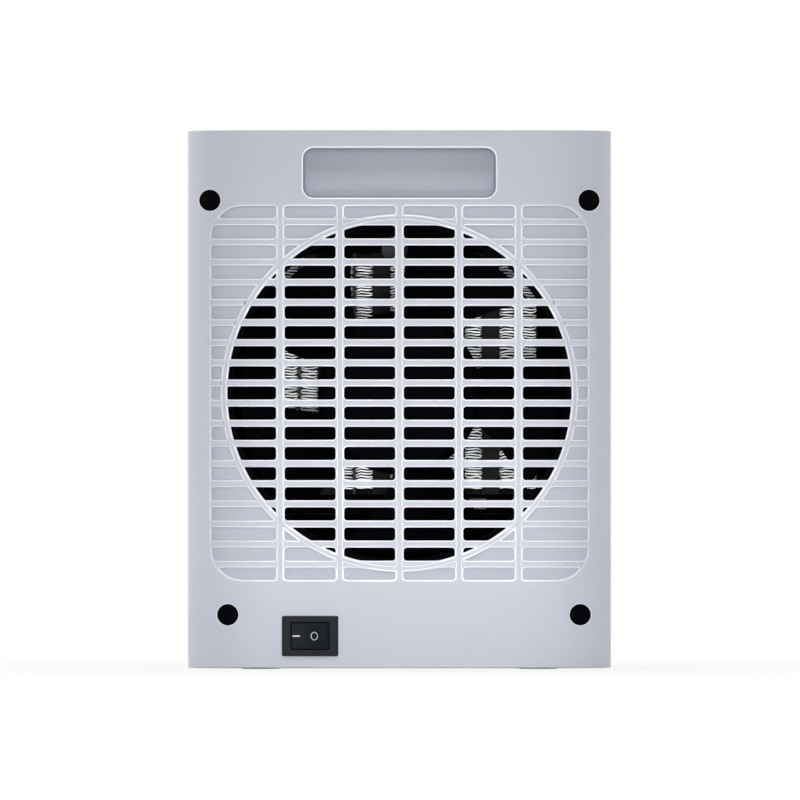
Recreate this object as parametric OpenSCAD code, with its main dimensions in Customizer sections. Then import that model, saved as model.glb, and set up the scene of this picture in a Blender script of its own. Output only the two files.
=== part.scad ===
// Upright ceramic fan heater, seen from the back in the photograph.
// X runs to the right as seen from the back, +Y points out of the hot-air outlet, +Z is up.
// The origin is on the floor, under the middle of the whole object with its switch.

/* [Casing] */
// Width of the casing
body_w = 158; // [154:1:168]
// Depth of the casing, from rear face to front face
body_d = 118; // [114:1:128]
// Height of the casing without its feet
body_h = 200.5; // [198:0.5:212]
// Radius of the four upright corners
corner_r = 20; // [18:0.5:22]
// Rounding of the top and bottom edges
edge_r = 1; // [0.6:0.2:1.4]
// Thickness of the casing walls
wall = 2.6; // [2.2:0.1:3]
// Depth of the rear cover, from the rear face to the seam
cover_d = 38; // [37:0.5:42]
// Width and depth of the groove along the seam
seam_w = 0.5; // [0.3:0.1:0.7]
// How far the rubber feet stand below the casing
foot_proud = 0.5; // [0.3:0.1:1]

/* [Inlet grille] */
// Width of the grille field
field_w = 141.2; // [139:0.2:143]
// Radius of the field's corners
field_r = 13.5; // [10:0.5:15]
// Number of slot rows
rows = 19; // [17:2:19]
// Spacing of the rows
row_pitch = 7.51; // [7.3:0.01:7.6]
// Height of each cross bar
bar_w = 2.55; // [2.2:0.05:2.8]
// Spacing of the upright ribs
rib_pitch = 22.2; // [21.5:0.1:22.6]
// Width of each upright rib
rib_w = 3.1; // [2.6:0.1:3.4]
// Number of upright ribs
ribs = 5; // [5]
// How far the cross bars lie behind the ribs
bar_sunk = 0.5; // [0.3:0.1:0.7]
// Depth of the blind pockets outside the ring
pocket_d = 1.7; // [1.2:0.1:1.9]
// Inner radius of the ring
ring_r = 64.5; // [63:0.5:65]
// Width of the ring
ring_w = 1.9; // [1.4:0.1:2.4]
// Corner radius of the slots
slot_r = 1.2; // [0.8:0.1:1.4]
// Width of the sunk ledge around the slots
ledge_step = 0.35; // [0.2:0.05:0.5]
// Height of the fan axis above the middle of the casing
axis_up = 2.3; // [1.5:0.1:3.5]

/* [Carry recess] */
// Width of the recess at its mouth
grip_w = 71.8; // [66:0.2:80]
// Height of the recess at its mouth
grip_h = 18.5; // [17:0.1:20]
// Corner radius of the mouth
grip_r = 3.9; // [3:0.1:5]
// Depth of the recess
grip_d = 14; // [12:0.5:18]
// How far each wall leans in on its way to the floor
grip_draft = 1.6; // [1:0.1:2]
// Distance from the casing's top to the middle of the recess
grip_drop = 15.85; // [14:0.05:17]

/* [Cover screws] */
// Radius of the screw wells
well_r = 4; // [3.6:0.1:4.2]
// Distance of the two upper wells from the side walls
well_in_top = 8.3; // [8.2:0.1:9]
// Distance of the upper wells from the casing's top
well_drop = 26.1; // [25.5:0.1:27]
// Distance of the lower left well from the side wall
well_in_left = 15; // [13:0.5:16]
// Distance of the lower right well from the side wall
well_in_right = 11.6; // [11:0.1:13]
// Height of the lower wells above the casing's underside
well_rise = 19.9; // [18:0.1:21]
// Depth of the rubber plugs
plug_d = 6; // [4:0.5:8]
// Shank radius of the cover screws
cover_screw_r = 1.5; // [1.3:0.1:1.7]

/* [Fan] */
// Number of blades
blades = 5; // [4:1:5]
// Tip radius of the blades
tip_r = 59.5; // [57:0.5:60]
// Radius of the hub cup
hub_r = 30.5; // [28:0.5:31]
// Depth of the hub cup
hub_d = 21; // [19:0.5:23]
// Angle that each blade covers at its root, seen from the back
blade_angle = 39; // [34:1:42]
// How much wider the blades get on their way to the tip
blade_flare = 13; // [6:1:16]
// How far the blades sweep on their way to the tip
blade_sweep = 10; // [0:1:14]
// Depth of the blades along the axis
blade_rise = 14; // [10:0.5:16]
// Thickness of the blades
blade_t = 1.6; // [1.2:0.1:2]
// Distance from the rear face to the nose of the hub
hub_in = 9; // [8:0.5:11]
// Radius of the motor shaft
shaft_r = 1.5; // [1.2:0.1:2]

/* [Duct] */
// Thickness of the duct walls
duct_wall = 2; // [1.6:0.1:2.4]
// Distance from the casing's side faces to the mounting plate
plate_side = 8; // [6:0.5:9]
// Height of the mounting plate
plate_h = 130; // [129:0.5:131]
// Distance from the rear face to the front of the mounting plate
plate_in = 36; // [35:0.5:38]
// Thickness of the motor disc
disc_t = 2.5; // [2:0.1:3.5]
// Width of the spider arms
arm_w = 3.5; // [2.5:0.1:5]
// How far the motor's arms turn back from the middles of the resting blades
arm_lag = 2.5; // [2:0.5:4]
// Distance from the casing's side faces to the duct screws
duct_screw_side = 12; // [11:0.25:12.5]
// Distance between duct screws up the plate
duct_screw_z = 100; // [90:1:104]
// Shank radius of the duct screws
duct_screw_r = 1.5; // [1.2:0.1:1.6]
// Length of the tapered part of the duct
taper_d = 30; // [26:1:34]
// Length of the straight part that holds the heater
socket_d = 30; // [26:1:32]

/* [Motor] */
// Radius of the motor can
motor_r = 20; // [18:0.5:22]
// Length of the motor can
motor_l = 26; // [24:0.5:30]
// Radius of the bearing boss on the motor
boss_r = 5; // [4.6:0.1:6]
// Distance of the two motor screws from the axis
motor_screw_in = 12.5; // [11:0.5:14]
// Shank radius of the motor screws
motor_screw_r = 1.5; // [1.2:0.1:1.6]

/* [Heater] */
// Number of ceramic heating tubes
tubes = 4; // [3:1:4]
// Width of each tube
tube_w = 6.2; // [5.4:0.1:7]
// Width of each fin strip
fin_w = 6.6; // [6:0.1:7]
// Thickness of the plates between the fin strips
plate_t = 0.75; // [0.5:0.05:1]
// Height of the fin strips
fin_h = 90.6; // [84:0.1:94]
// Depth of the heater core along the air flow
core_d = 15; // [12:0.5:17]
// Spacing of the folds in a fin strip
fold_pitch = 1.3; // [1.2:0.1:2]
// Thickness of the fin foil
foil_t = 0.3; // [0.2:0.05:0.4]
// Sideways offset of the core from the fan axis
core_shift = 3.5; // [2:0.1:5]
// Height of the core's middle above the fan axis
core_lift = 7.3; // [5:0.1:9]
// Height of the frame bars above and below the fins
frame_bar = 7.4; // [6:0.1:8]

/* [Outlet grille] */
// Distance from the casing's side faces to the outlet
outlet_side = 21; // [19:0.5:24]
// Height of the outlet
outlet_h = 108; // [102:1:110]
// Corner radius of the outlet
outlet_r = 8; // [5:0.5:12]
// Number of slats
slats = 12; // [9:1:13]
// Thickness of each slat
slat_t = 1.8; // [1.4:0.1:2.2]
// Depth of the outlet grille
louvre_d = 14; // [13:0.5:16]
// Downward tilt of the slats, enough to close the view through the outlet
slat_tilt = 36; // [34:1:42]

/* [Controls] */
// Width of the top panel
panel_w = 104; // [98:1:108]
// Depth of the top panel, front to back
panel_d = 36; // [34:1:40]
// Corner radius of the top panel
panel_r = 6; // [4:0.5:8]
// Distance from the front face to the middle of the panel
panel_in = 40; // [38:0.5:44]
// Radius of the push buttons
button_r = 6; // [5:0.25:7]
// Spacing of the push buttons
button_pitch = 24; // [20:1:26]
// Travel of the push buttons
button_travel = 0.6; // [0.4:0.1:0.8]

/* [Main switch] */
// Width of the switch bezel
bezel_w = 21; // [20.6:0.1:22]
// Height of the switch bezel
bezel_h = 15; // [14.6:0.1:16]
// Thickness of the bezel in front of the cover
bezel_t = 2; // [1.6:0.1:2.2]
// Distance from the left side wall to the middle of the switch
switch_in = 45.7; // [42:0.1:50]
// Height of the switch above the casing's underside
switch_rise = 12; // [11:0.1:13]
// Radius of the paddle's ends about its pivot
rocker_r = 8.7; // [8.4:0.05:8.8]
// Height of the paddle
rocker_h = 9.7; // [9:0.1:10]
// Tilt of the paddle to each side of the middle
rocker_tilt = 13.2; // [11:0.1:14]

/* [Supply] */
// Width of the power board
board_w = 106; // [100:1:108]
// Depth of the power board, front to back
board_d = 46; // [42:1:48]
// Bore radius of the cord gland
gland_bore_r = 3.3; // [3:0.1:3.8]
// Height of the cord gland above the casing's underside
gland_rise = 33; // [32.5:0.1:33.5]
// Distance from the seam to the cord gland
gland_in = 14; // [12:0.5:18]

/* [Hidden] */
$fn = 96;

// Clearances between pieces
gap = 0.3; // loose seat of one piece in another
snug = 0.1; // close seat
run_gap = 0.04; // radial clearance of a running shaft
eps = 0.01; // overshoot of a cut past a face

// Colours
shell_col = [0.80, 0.81, 0.85];
dark_col = [0.10, 0.10, 0.11];
board_col = [0.10, 0.36, 0.22];
steel_col = [0.70, 0.71, 0.73];
brass_col = [0.80, 0.66, 0.34];
ivory_col = [0.90, 0.88, 0.82];

// The paddle of the switch and how far it stands out
crest_half = 5.2;
crest_h = sqrt(rocker_r * rocker_r - crest_half * crest_half);
pivot_in = 3.4; // pivot behind the rear face
rocker_proud = crest_h * cos(rocker_tilt) + crest_half * sin(rocker_tilt) - pivot_in;

// Main stations along Y and Z
rear_y = (rocker_proud - body_d) / 2;
front_y = rear_y + body_d;
mid_y = (rear_y + front_y) / 2;
seam_y = rear_y + cover_d;
base_z = foot_proud;
top_z = base_z + body_h;
floor_z = base_z + wall;
axis_z = base_z + body_h / 2 + axis_up;
inner_y = rear_y + wall;

// Places worked out from the sizes above
slot_w = rib_pitch - rib_w;
field_h = rows * row_pitch - bar_w;
grip_z = top_z - grip_drop;
well_at = [[-body_w / 2 + well_in_top, top_z - well_drop], [body_w / 2 - well_in_top, top_z - well_drop],
    [-body_w / 2 + well_in_left, base_z + well_rise], [body_w / 2 - well_in_right, base_z + well_rise]];
boss_wall = 1.5;
seat_t = 3; // floor of a screw well
head_r = 3;
head_h = 2;
plate_y = rear_y + plate_in;
plate_w = body_w - 2 * plate_side;
duct_screw_x = body_w - 2 * duct_screw_side;
duct_screw_l = 12;
shroud_r = ring_r - gap;
duct_r = shroud_r - duct_wall;
taper_y = plate_y + taper_d;
socket_y = taper_y + socket_d;
hub_y = rear_y + hub_in;
hub_wall = 2;
blade_y = hub_y + 5 + blade_rise / 2;
hub_boss_r = 5;
motor_y = plate_y;
motor_end_y = motor_y + motor_l;
can_t = 1;
cap_t = 4;
bush_l = 5;
bush_r = 3.4;
boss_l = 4; // bearing boss standing out at the motor's rear
tab_w = 4.8; // push-on terminals
tab_t = 0.8;
magnet_t = 3.2;
air_gap = 0.8; // between the magnets and the armature
magnet_l = motor_l - 9;
magnet_slot = 8; // between the two magnets
pole_in = 5.5; // rear end of the armature inside the can
fuse_x = 18; // left end of the fuse, from the core's middle
fuse_l = 11;
fuse_lead_l = 6; // lead at each end of the fuse
cover_screw_grip = 12; // thread length in the posts
shaft_tip_y = hub_y + 3;
shaft_end_y = motor_end_y + cap_t - 1;
core_z = axis_z + core_lift;
core_y = taper_y + 5;
tube_pitch = tube_w + 2 * fin_w + plate_t + 4 * snug;
core_w = (tubes + 1) * (2 * fin_w + plate_t + 4 * snug) + tubes * tube_w;
cheek_w = 6;
frame_lip = 1.5; // frame in front of and behind the core
frame_d = core_d + 2 * frame_lip;
socket_w = core_w + 2 * cheek_w + 2 * core_shift + 2 * gap;
socket_h = fin_h + 2 * frame_bar + 2 * gap;
outlet_z = core_z;
outlet_w = body_w - 2 * outlet_side;
bezel_z = base_z + switch_rise;
switch_x = -body_w / 2 + switch_in;
switch_body_w = bezel_w - 2;
switch_body_h = bezel_h - 2;
switch_body_d = 14;
pivot_y = rear_y + pivot_in;
panel_y = front_y - panel_in;
panel_t = wall;
flange_t = 1;
tact_h = 3.5;
plunger_h = 1;
board_t = 1.6;
flange_z = top_z - panel_t - snug - flange_t;
stem_l = 2;
plunger_z = flange_z - stem_l - button_travel - snug;
control_z = plunger_z - plunger_h - tact_h; // top of the control board
control_w = panel_w - 8;
control_d = panel_d - 8;
power_z = floor_z + 6; // underside of the power board
power_top = power_z + board_t;
power_y = seam_y + 12 + board_d / 2;
relay_x = 4.5; // left side of the first relay
relay_l = 19;
relay_d = 15.5;
relay_h = 15;
relay_pitch = 22;
film_x = -24; // left side of the film capacitor
film_l = 18;
film_d = 8;
film_h = 14;
can_gap = 4;
can_r = 5;
can_h = 16;
tilt_w = 11;
tilt_h = 12;
plug_pitch = 20;
plug_l = 12;
plug_w = 7;
plug_h = 9;
plug_wall = 1.2;
gland_y = seam_y + gland_in;
gland_z = base_z + gland_rise;
foot_r = 7;
foot_sunk = 1.4;
foot_h = foot_proud + foot_sunk;
foot_stem_r = 2.5;
foot_in_x = 27;
foot_in_y = 22;

// ---- shared shapes ----

// Rounded rectangle about the origin
module rounded_rect(w, h, r) {
    square([w - 2 * r, h], center = true);
    square([w, h - 2 * r], center = true);
    for (sx = [-1, 1], sy = [-1, 1])
        translate([sx * (w / 2 - r), sy * (h / 2 - r)]) circle(r);
}

// A drawing seen from the back, X across and Z up, made solid from y0 to y1
module upright(y0, y1) {
    translate([0, y1, 0]) rotate([90, 0, 0]) linear_extrude(y1 - y0) children();
}

// A round piece turned to point along +Y, starting at y
module along_y(x, y, z) {
    translate([x, y, z]) rotate([-90, 0, 0]) children();
}

// A drawing seen from above, made solid from z0 to z1
module plan(z0, z1) {
    translate([0, 0, z0]) linear_extrude(z1 - z0) children();
}

// Half of an upright section whose outer corners are rounded by e
module edge_profile(half, h, e) {
    translate([0, e]) square([half, h - 2 * e]);
    square([half - e, h]);
    translate([half - e, e]) circle(e);
    translate([half - e, h - e]) circle(e);
}

// Whole casing as a solid: round corner posts with slabs between them
module casing_solid() {
    cx = body_w / 2 - corner_r;
    cy = body_d / 2 - corner_r;
    translate([0, mid_y, base_z]) {
        for (q = [[1, 1, 0], [-1, 1, 90], [-1, -1, 180], [1, -1, 270]])
            translate([q[0] * cx, q[1] * cy, 0]) rotate(q[2])
                rotate_extrude(angle = 90) edge_profile(corner_r, body_h, edge_r);
        for (turn = [0, 180]) rotate(turn) {
            translate([0, cy, 0]) rotate([90, 0, 0])
                linear_extrude(2 * cy) edge_profile(body_w / 2, body_h, edge_r);
            translate([cx, cy, 0]) rotate([90, 0, -90])
                linear_extrude(2 * cx) mirror([1, 0]) edge_profile(corner_r, body_h, edge_r);
        }
    }
}

// Upright prism that follows the casing's plan, set in by an inset
module casing_core(inset, z0, z1) {
    translate([0, mid_y, 0])
        plan(z0, z1) rounded_rect(body_w - 2 * inset, body_d - 2 * inset, corner_r - inset);
}

// Everything between two stations along Y
module slice(y0, y1) {
    translate([-body_w, y0, -10]) cube([2 * body_w, y1 - y0, body_h + 30]);
}

// Corner points of a slot with rounded corners
function slot_points(x0, x1, z0, z1, r) = [
    for (c = [[x1 - r, z1 - r, 0], [x0 + r, z1 - r, 90], [x0 + r, z0 + r, 180], [x1 - r, z0 + r, 270]])
        for (a = [0:45:90]) [c[0] + r * cos(c[2] + a), c[1] + r * sin(c[2] + a)]];

// Pan-head screw whose head seats at the origin and whose shank points along +Z
module screw(shank_r, shank_l) {
    cylinder(r = shank_r, h = shank_l);
    translate([0, 0, -head_h]) difference() {
        cylinder(r = head_r, h = head_h);
        for (turn = [0, 90]) rotate(turn)
            translate([-head_r * 0.6, -0.35, -eps]) cube([head_r * 1.2, 0.7, 1]);
    }
}

// ---- rear cover ----

// Left and right edge of each slot column
function column_x(c) = let (half = (ribs - 1) / 2 * rib_pitch + rib_w / 2)
    c == 0 ? [-field_w / 2, -half] : c == ribs ? [half, field_w / 2]
        : [-half + rib_w + (c - 1) * rib_pitch, -half + rib_w + (c - 1) * rib_pitch + slot_w];

module grille_slots(columns) {
    for (c = columns, i = [0:rows - 1])
        translate([0, -field_h / 2 + i * row_pitch])
            polygon(slot_points(column_x(c)[0], column_x(c)[1], 0, row_pitch - bar_w, slot_r));
}

module grille_columns(columns) {
    for (c = columns)
        polygon(slot_points(column_x(c)[0] - ledge_step, column_x(c)[1] + ledge_step,
            -field_h / 2 - ledge_step, field_h / 2 + ledge_step, slot_r + ledge_step));
}

// Ring round the open part of the grille, set in by a step on both sides
module ring_band(step) {
    difference() {
        circle(ring_r + ring_w - step);
        circle(ring_r + step);
    }
}

// Cut of a drawing on the rear face: flat over the middle columns, and following the
// round corner of the casing over the two outer ones
module skin_cut(depth) {
    translate([0, 0, axis_z]) upright(rear_y - 1, rear_y + depth) children(0);
    for (c = [0, ribs]) intersection() {
        plan(axis_z - field_h, axis_z + field_h) difference() {
            translate([column_x(c)[0] - 1, rear_y - 2]) square([column_x(c)[1] - column_x(c)[0] + 2, corner_r / 2]);
            translate([0, mid_y]) rounded_rect(body_w - 2 * depth, body_d - 2 * depth, corner_r - depth);
        }
        translate([0, 0, axis_z]) upright(rear_y - 1, rear_y + corner_r / 2) children(c == 0 ? 1 : 2);
    }
}

module sunk_columns(columns) {
    difference() {
        intersection() {
            grille_columns(columns);
            rounded_rect(field_w + 1.5 * ledge_step, field_h + 1.5 * ledge_step, field_r + ledge_step);
        }
        ring_band(ledge_step);
    }
}

module blind_slots(columns) {
    difference() {
        intersection() {
            grille_slots(columns);
            rounded_rect(field_w, field_h, field_r);
        }
        circle(ring_r + ring_w);
    }
}

// The three levels of the grille: sunk bars, blind pockets and open slots
module bar_level() {
    skin_cut(bar_sunk) {
        sunk_columns([1:ribs - 1]);
        sunk_columns([0]);
        sunk_columns([ribs]);
    }
}

module pocket_level() {
    skin_cut(pocket_d) {
        blind_slots([1:ribs - 1]);
        blind_slots([0]);
        blind_slots([ribs]);
    }
}

module open_level() {
    translate([0, 0, axis_z]) upright(rear_y - 1, inner_y + 1.5) intersection() {
        grille_slots([0:ribs]);
        circle(ring_r);
    }
}

// Recess for two fingers, its walls leaning in towards the floor
module grip_cut() {
    translate([0, rear_y, grip_z]) rotate([-90, 0, 0])
        linear_extrude(grip_d, slices = 1, scale = [1 - 2 * grip_draft / grip_w, 1 - 2 * grip_draft / grip_h])
            rounded_rect(grip_w, grip_h, grip_r, $fn = 32);
    translate([0, 0, grip_z]) upright(rear_y - 1, rear_y + eps) rounded_rect(grip_w, grip_h, grip_r);
}

// Well bosses, ending under the casing's skin
module well_bosses() {
    intersection() {
        for (p = well_at) along_y(p[0], rear_y, p[1]) cylinder(r = well_r + boss_wall, h = cover_d);
        casing_core(wall / 2, base_z, top_z);
    }
}

module well_cuts() {
    for (p = well_at) {
        along_y(p[0], rear_y - 1, p[1]) cylinder(r = well_r, h = cover_d - seat_t + 1);
        along_y(p[0], seam_y - seat_t - 1, p[1]) cylinder(r = cover_screw_r + snug, h = seat_t + 2);
    }
}

module foot_cuts(y) {
    for (s = [-1, 1]) translate([s * (body_w / 2 - foot_in_x), y, base_z - eps]) {
        cylinder(r = foot_r + snug, h = foot_sunk + eps);
        cylinder(r = foot_stem_r, h = 2 * wall);
    }
}

module cover_shell() {
    difference() {
        intersection() {
            casing_solid();
            slice(rear_y - 1, seam_y);
        }
        casing_core(wall, floor_z, top_z - wall);
    }
    translate([0, 0, grip_z]) upright(inner_y - 1, rear_y + grip_d + wall)
        square([grip_w + wall, grip_h + wall], center = true);
    well_bosses();
    // collar that the fan shroud seats in
    translate([0, 0, axis_z]) upright(inner_y - 1, inner_y + 5) ring_band(0);
}

module rear_cover() {
    color(shell_col) difference() {
        difference() {
            difference() {
                difference() {
                    cover_shell();
                    grip_cut();
                    well_cuts();
                    foot_cuts(rear_y + foot_in_y);
                    translate([switch_x, 0, bezel_z]) upright(rear_y - 1, inner_y + 1)
                        square([switch_body_w + 2 * snug, switch_body_h + 2 * snug], center = true);
                }
                bar_level();
            }
            pocket_level();
        }
        open_level();
    }
}

// ---- front housing ----

post_r = 3.8;
duct_post_at = [for (sx = [-1, 1], sz = [-1, 1])
    [sx * duct_screw_x / 2, axis_z + sz * duct_screw_z / 2]];
power_post_at = [for (sx = [-1, 1], sy = [-1, 1])
    [sx * (board_w / 2 - 5), power_y + sy * (board_d / 2 - 5)]];
control_post_at = [for (sx = [-1, 1], sy = [-1, 1])
    [sx * (control_w / 2 - 4), panel_y + sy * (control_d / 2 - 4)]];

module seam_tongue() {
    inner_w = body_w - 2 * wall;
    inner_h = body_h - 2 * wall;
    tongue_t = 1.2;
    translate([0, 0, (base_z + top_z) / 2]) difference() {
        union() {
            upright(seam_y - 2.5, seam_y + 2) square([inner_w - 2 * snug, inner_h - 2 * snug], center = true);
            upright(seam_y, seam_y + 2) square([inner_w + 1, inner_h + 1], center = true);
        }
        upright(seam_y - 3, seam_y + 3)
            square([inner_w - 2 * tongue_t, inner_h - 2 * tongue_t], center = true);
    }
}

module seam_groove() {
    translate([0, 0, (base_z + top_z) / 2]) upright(seam_y - eps, seam_y + seam_w) difference() {
        square([body_w + 20, body_h + 20], center = true);
        square([body_w - 2 * seam_w, body_h - 2 * seam_w], center = true);
    }
}

module cover_posts() {
    for (p = well_at) along_y(p[0], seam_y, p[1]) cylinder(r = post_r, h = body_d);
}

module duct_posts() {
    for (p = duct_post_at) along_y(p[0], plate_y, p[1]) cylinder(r = 3.5, h = body_d);
}

module power_posts() {
    for (p = power_post_at) translate([p[0], p[1], floor_z - 1]) cylinder(r = 3.2, h = power_z - floor_z + 1);
}

module housing_holes() {
    for (p = well_at) along_y(p[0], seam_y - 3, p[1]) cylinder(r = cover_screw_r + run_gap, h = 18);
    for (p = duct_post_at) along_y(p[0], plate_y - 1, p[1]) cylinder(r = duct_screw_r + run_gap, h = duct_screw_l + 2);
    for (p = power_post_at) translate([p[0], p[1], power_z - 5]) cylinder(r = 1.2 + run_gap, h = 6);
}

module front_housing() {
    ledge_w = panel_w - 6;
    ledge_d = panel_d - 6;
    color(shell_col) difference() {
        union() {
            difference() {
                intersection() {
                    casing_solid();
                    slice(seam_y, front_y + 1);
                }
                casing_core(wall, floor_z, top_z - wall);
            }
            difference() {
                seam_tongue();
                for (p = well_at) along_y(p[0], seam_y - 4, p[1])
                    cylinder(r = well_r + boss_wall + gap, h = 4);
            }
            intersection() {
                union() {
                    cover_posts();
                    duct_posts();
                }
                casing_core(wall / 2, base_z + wall / 2, top_z - wall / 2);
            }
            power_posts();
            // ledge under the top panel
            translate([0, panel_y, 0]) plan(top_z - wall - 1.6, top_z - wall / 2)
                rounded_rect(panel_w + 4, panel_d + 4, panel_r + 2);
        }
        housing_holes();
        seam_groove();
        foot_cuts(front_y - foot_in_y);
        translate([0, 0, outlet_z]) upright(front_y - wall - 1, front_y + 1)
            rounded_rect(outlet_w + 2 * snug, outlet_h + 2 * snug, outlet_r + snug);
        translate([0, panel_y, 0]) {
            plan(top_z - panel_t, top_z + 1)
                rounded_rect(panel_w + 2 * snug, panel_d + 2 * snug, panel_r + snug);
            plan(top_z - wall - 3, top_z) rounded_rect(ledge_w, ledge_d, panel_r - 3);
        }
        translate([body_w / 2, gland_y, gland_z]) rotate([0, -90, 0]) {
            translate([0, 0, -1]) cylinder(r = 7 + snug, h = 2.2);
            cylinder(r = 5 + snug, h = wall + 1);
        }
    }
}

// ---- outlet grille ----

module front_grille() {
    slat_pitch = (outlet_h - 8) / (slats + 1);
    stay_t = 2; // upright stays behind the slats
    slat_l = (louvre_d - stay_t - 1 - slat_t * sin(slat_tilt)) / cos(slat_tilt);
    color(dark_col) translate([0, 0, outlet_z]) {
        upright(front_y - louvre_d, front_y) difference() {
            rounded_rect(outlet_w, outlet_h, outlet_r);
            rounded_rect(outlet_w - 8, outlet_h - 8, outlet_r - 4);
        }
        upright(front_y - wall - snug - 1.6, front_y - wall - snug) difference() {
            rounded_rect(outlet_w + 5, outlet_h + 5, outlet_r + 2.5);
            rounded_rect(outlet_w - 8, outlet_h - 8, outlet_r - 4);
        }
        for (i = [1:slats])
            translate([0, front_y - (louvre_d - stay_t + 1) / 2, -outlet_h / 2 + 4 + i * slat_pitch])
                rotate([-slat_tilt, 0, 0]) cube([outlet_w - 6, slat_l, slat_t], center = true);
        for (x = [-1, 0, 1])
            upright(front_y - louvre_d, front_y - louvre_d + stay_t + 0.5) translate([x * outlet_w / 4, 0])
                square([2.4, outlet_h - 6], center = true);
    }
}

// ---- top controls ----

module control_panel() {
    color(dark_col) difference() {
        union() {
            translate([0, panel_y, 0]) plan(top_z - panel_t, top_z) rounded_rect(panel_w, panel_d, panel_r);
            for (p = control_post_at) translate([p[0], p[1], control_z])
                cylinder(r = 2.4, h = top_z - 1 - control_z);
        }
        for (i = [-1:1]) translate([i * button_pitch, panel_y, top_z - panel_t - 1])
            cylinder(r = button_r + snug, h = panel_t + 2);
        for (i = [-1, 1]) translate([i * button_pitch / 2, panel_y, top_z - panel_t - 1])
            cylinder(r = 1.5 + snug, h = panel_t + 2);
        for (p = control_post_at) translate([p[0], p[1], control_z - 1]) cylinder(r = 1.2 + run_gap, h = 6);
    }
}

// One push button: cap, flange under the panel and a stem over its switch
module push_button(i) {
    color(dark_col) translate([i * button_pitch, panel_y, 0]) {
        translate([0, 0, flange_z]) cylinder(r = button_r, h = top_z - flange_z);
        translate([0, 0, flange_z]) cylinder(r = button_r + 1.2, h = flange_t);
        translate([0, 0, flange_z - stem_l]) cylinder(r = 1.8, h = stem_l + 1);
    }
}

module button_power() { push_button(0); }

module button_up() { push_button(1); }

module button_down() { push_button(-1); }

module control_board() {
    color(board_col) difference() {
        translate([0, panel_y, 0]) plan(control_z - board_t, control_z) square([control_w, control_d], center = true);
        for (p = control_post_at) translate([p[0], p[1], control_z - 3]) cylinder(r = 1.3, h = 4);
    }
}

module tact_switches() {
    color(dark_col) for (i = [-1:1]) translate([i * button_pitch, panel_y, control_z]) {
        translate([-3, -3, 0]) cube([6, 6, tact_h]);
        cylinder(r = 1.7, h = tact_h + plunger_h);
    }
}

module indicator_lights() {
    color(ivory_col) for (i = [-1, 1]) translate([i * button_pitch / 2, panel_y, control_z]) {
        cylinder(r = 1.5, h = top_z - 0.3 - control_z);
        cylinder(r = 2, h = 2);
    }
}

// ---- supply electronics in the base ----

module power_board() {
    color(board_col) difference() {
        translate([0, power_y, 0]) plan(power_z, power_top) square([board_w, board_d], center = true);
        for (p = power_post_at) translate([p[0], p[1], power_z - 1]) cylinder(r = 1.3, h = 4);
    }
}

module relays() {
    color([0.15, 0.3, 0.6]) for (i = [0, 1])
        translate([relay_x + i * relay_pitch, power_y - relay_d / 2, power_top]) cube([relay_l, relay_d, relay_h]);
}

module filter_capacitor() {
    color([0.75, 0.6, 0.2]) translate([film_x, power_y - film_d, power_top]) cube([film_l, film_d, film_h]);
    color(dark_col) translate([film_x - can_gap - can_r, power_y + can_r, power_top]) cylinder(r = can_r, h = can_h);
}

module lead_connectors() {
    color(ivory_col) for (i = [-1:1])
        translate([i * plug_pitch - plug_l / 2, power_y + board_d / 2 - plug_w - 2, power_top]) difference() {
            cube([plug_l, plug_w, plug_h]);
            translate([plug_wall, plug_wall, 2])
                cube([plug_l - 2 * plug_wall, plug_w - 2 * plug_wall, plug_h]);
        }
}

module tilt_switch() {
    color(dark_col) translate([film_x - can_gap - tilt_w, power_y - tilt_w, power_top]) {
        translate([-tilt_w / 2, -tilt_w / 2, 0]) cube([tilt_w, tilt_w, tilt_h]);
        translate([0, 0, tilt_h]) cylinder(r = tilt_w / 3, h = 3);
    }
}

// ---- duct with the motor spider ----

module duct_section(y, w, h, z) {
    translate([-w / 2, y - 0.5, z - h / 2]) cube([w, 1, h]);
}

// Tapered tunnel between the mounting plate and the heater socket
module tunnel(grow) {
    hull() {
        along_y(0, plate_y - 0.5, axis_z) cylinder(r = duct_r + grow, h = 1, $fn = 48);
        duct_section(taper_y, socket_w + 2 * grow, socket_h + 2 * grow, core_z);
    }
}

module fan_duct() {
    color(dark_col) difference() {
        union() {
            intersection() {
                along_y(0, inner_y, axis_z) cylinder(r = shroud_r, h = plate_y - inner_y);
                casing_core(wall + gap, base_z, top_z);
            }
            upright(plate_y - duct_wall, plate_y) difference() {
                translate([0, axis_z]) rounded_rect(plate_w, plate_h, 4);
                for (p = well_at) translate(p) circle(well_r + boss_wall + gap);
            }
            tunnel(duct_wall);
            translate([0, 0, core_z]) upright(taper_y, socket_y)
                square([socket_w + 2 * duct_wall, socket_h + 2 * duct_wall], center = true);
        }
        difference() {
            union() {
                along_y(0, inner_y, axis_z) cylinder(r = duct_r, h = plate_y - inner_y + eps);
                tunnel(0);
                translate([0, 0, core_z]) upright(taper_y, socket_y + 1)
                    square([socket_w, socket_h], center = true);
            }
            motor_spider();
        }
        along_y(0, plate_y - 10, axis_z) cylinder(r = boss_r + snug, h = 12);
        for (s = [-1, 1]) along_y(s * motor_screw_in, plate_y - 10, axis_z)
            cylinder(r = motor_screw_r + snug, h = 12);
        for (p = duct_post_at) along_y(p[0], plate_y - 10, p[1]) cylinder(r = duct_screw_r + snug, h = 12);
    }
}

module motor_spider() {
    along_y(0, plate_y - disc_t, axis_z) cylinder(r = hub_r, h = disc_t);
    for (i = [0:blades - 1]) translate([0, 0, axis_z]) rotate([0, arm_lag - blade_centre(i), 0])
        translate([hub_r - 2, plate_y - 5, -arm_w / 2]) cube([duct_r - hub_r + 3, 5, arm_w]);
}

// ---- fan ----

function blade_centre(i) = 70 + i * 360 / blades;

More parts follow.
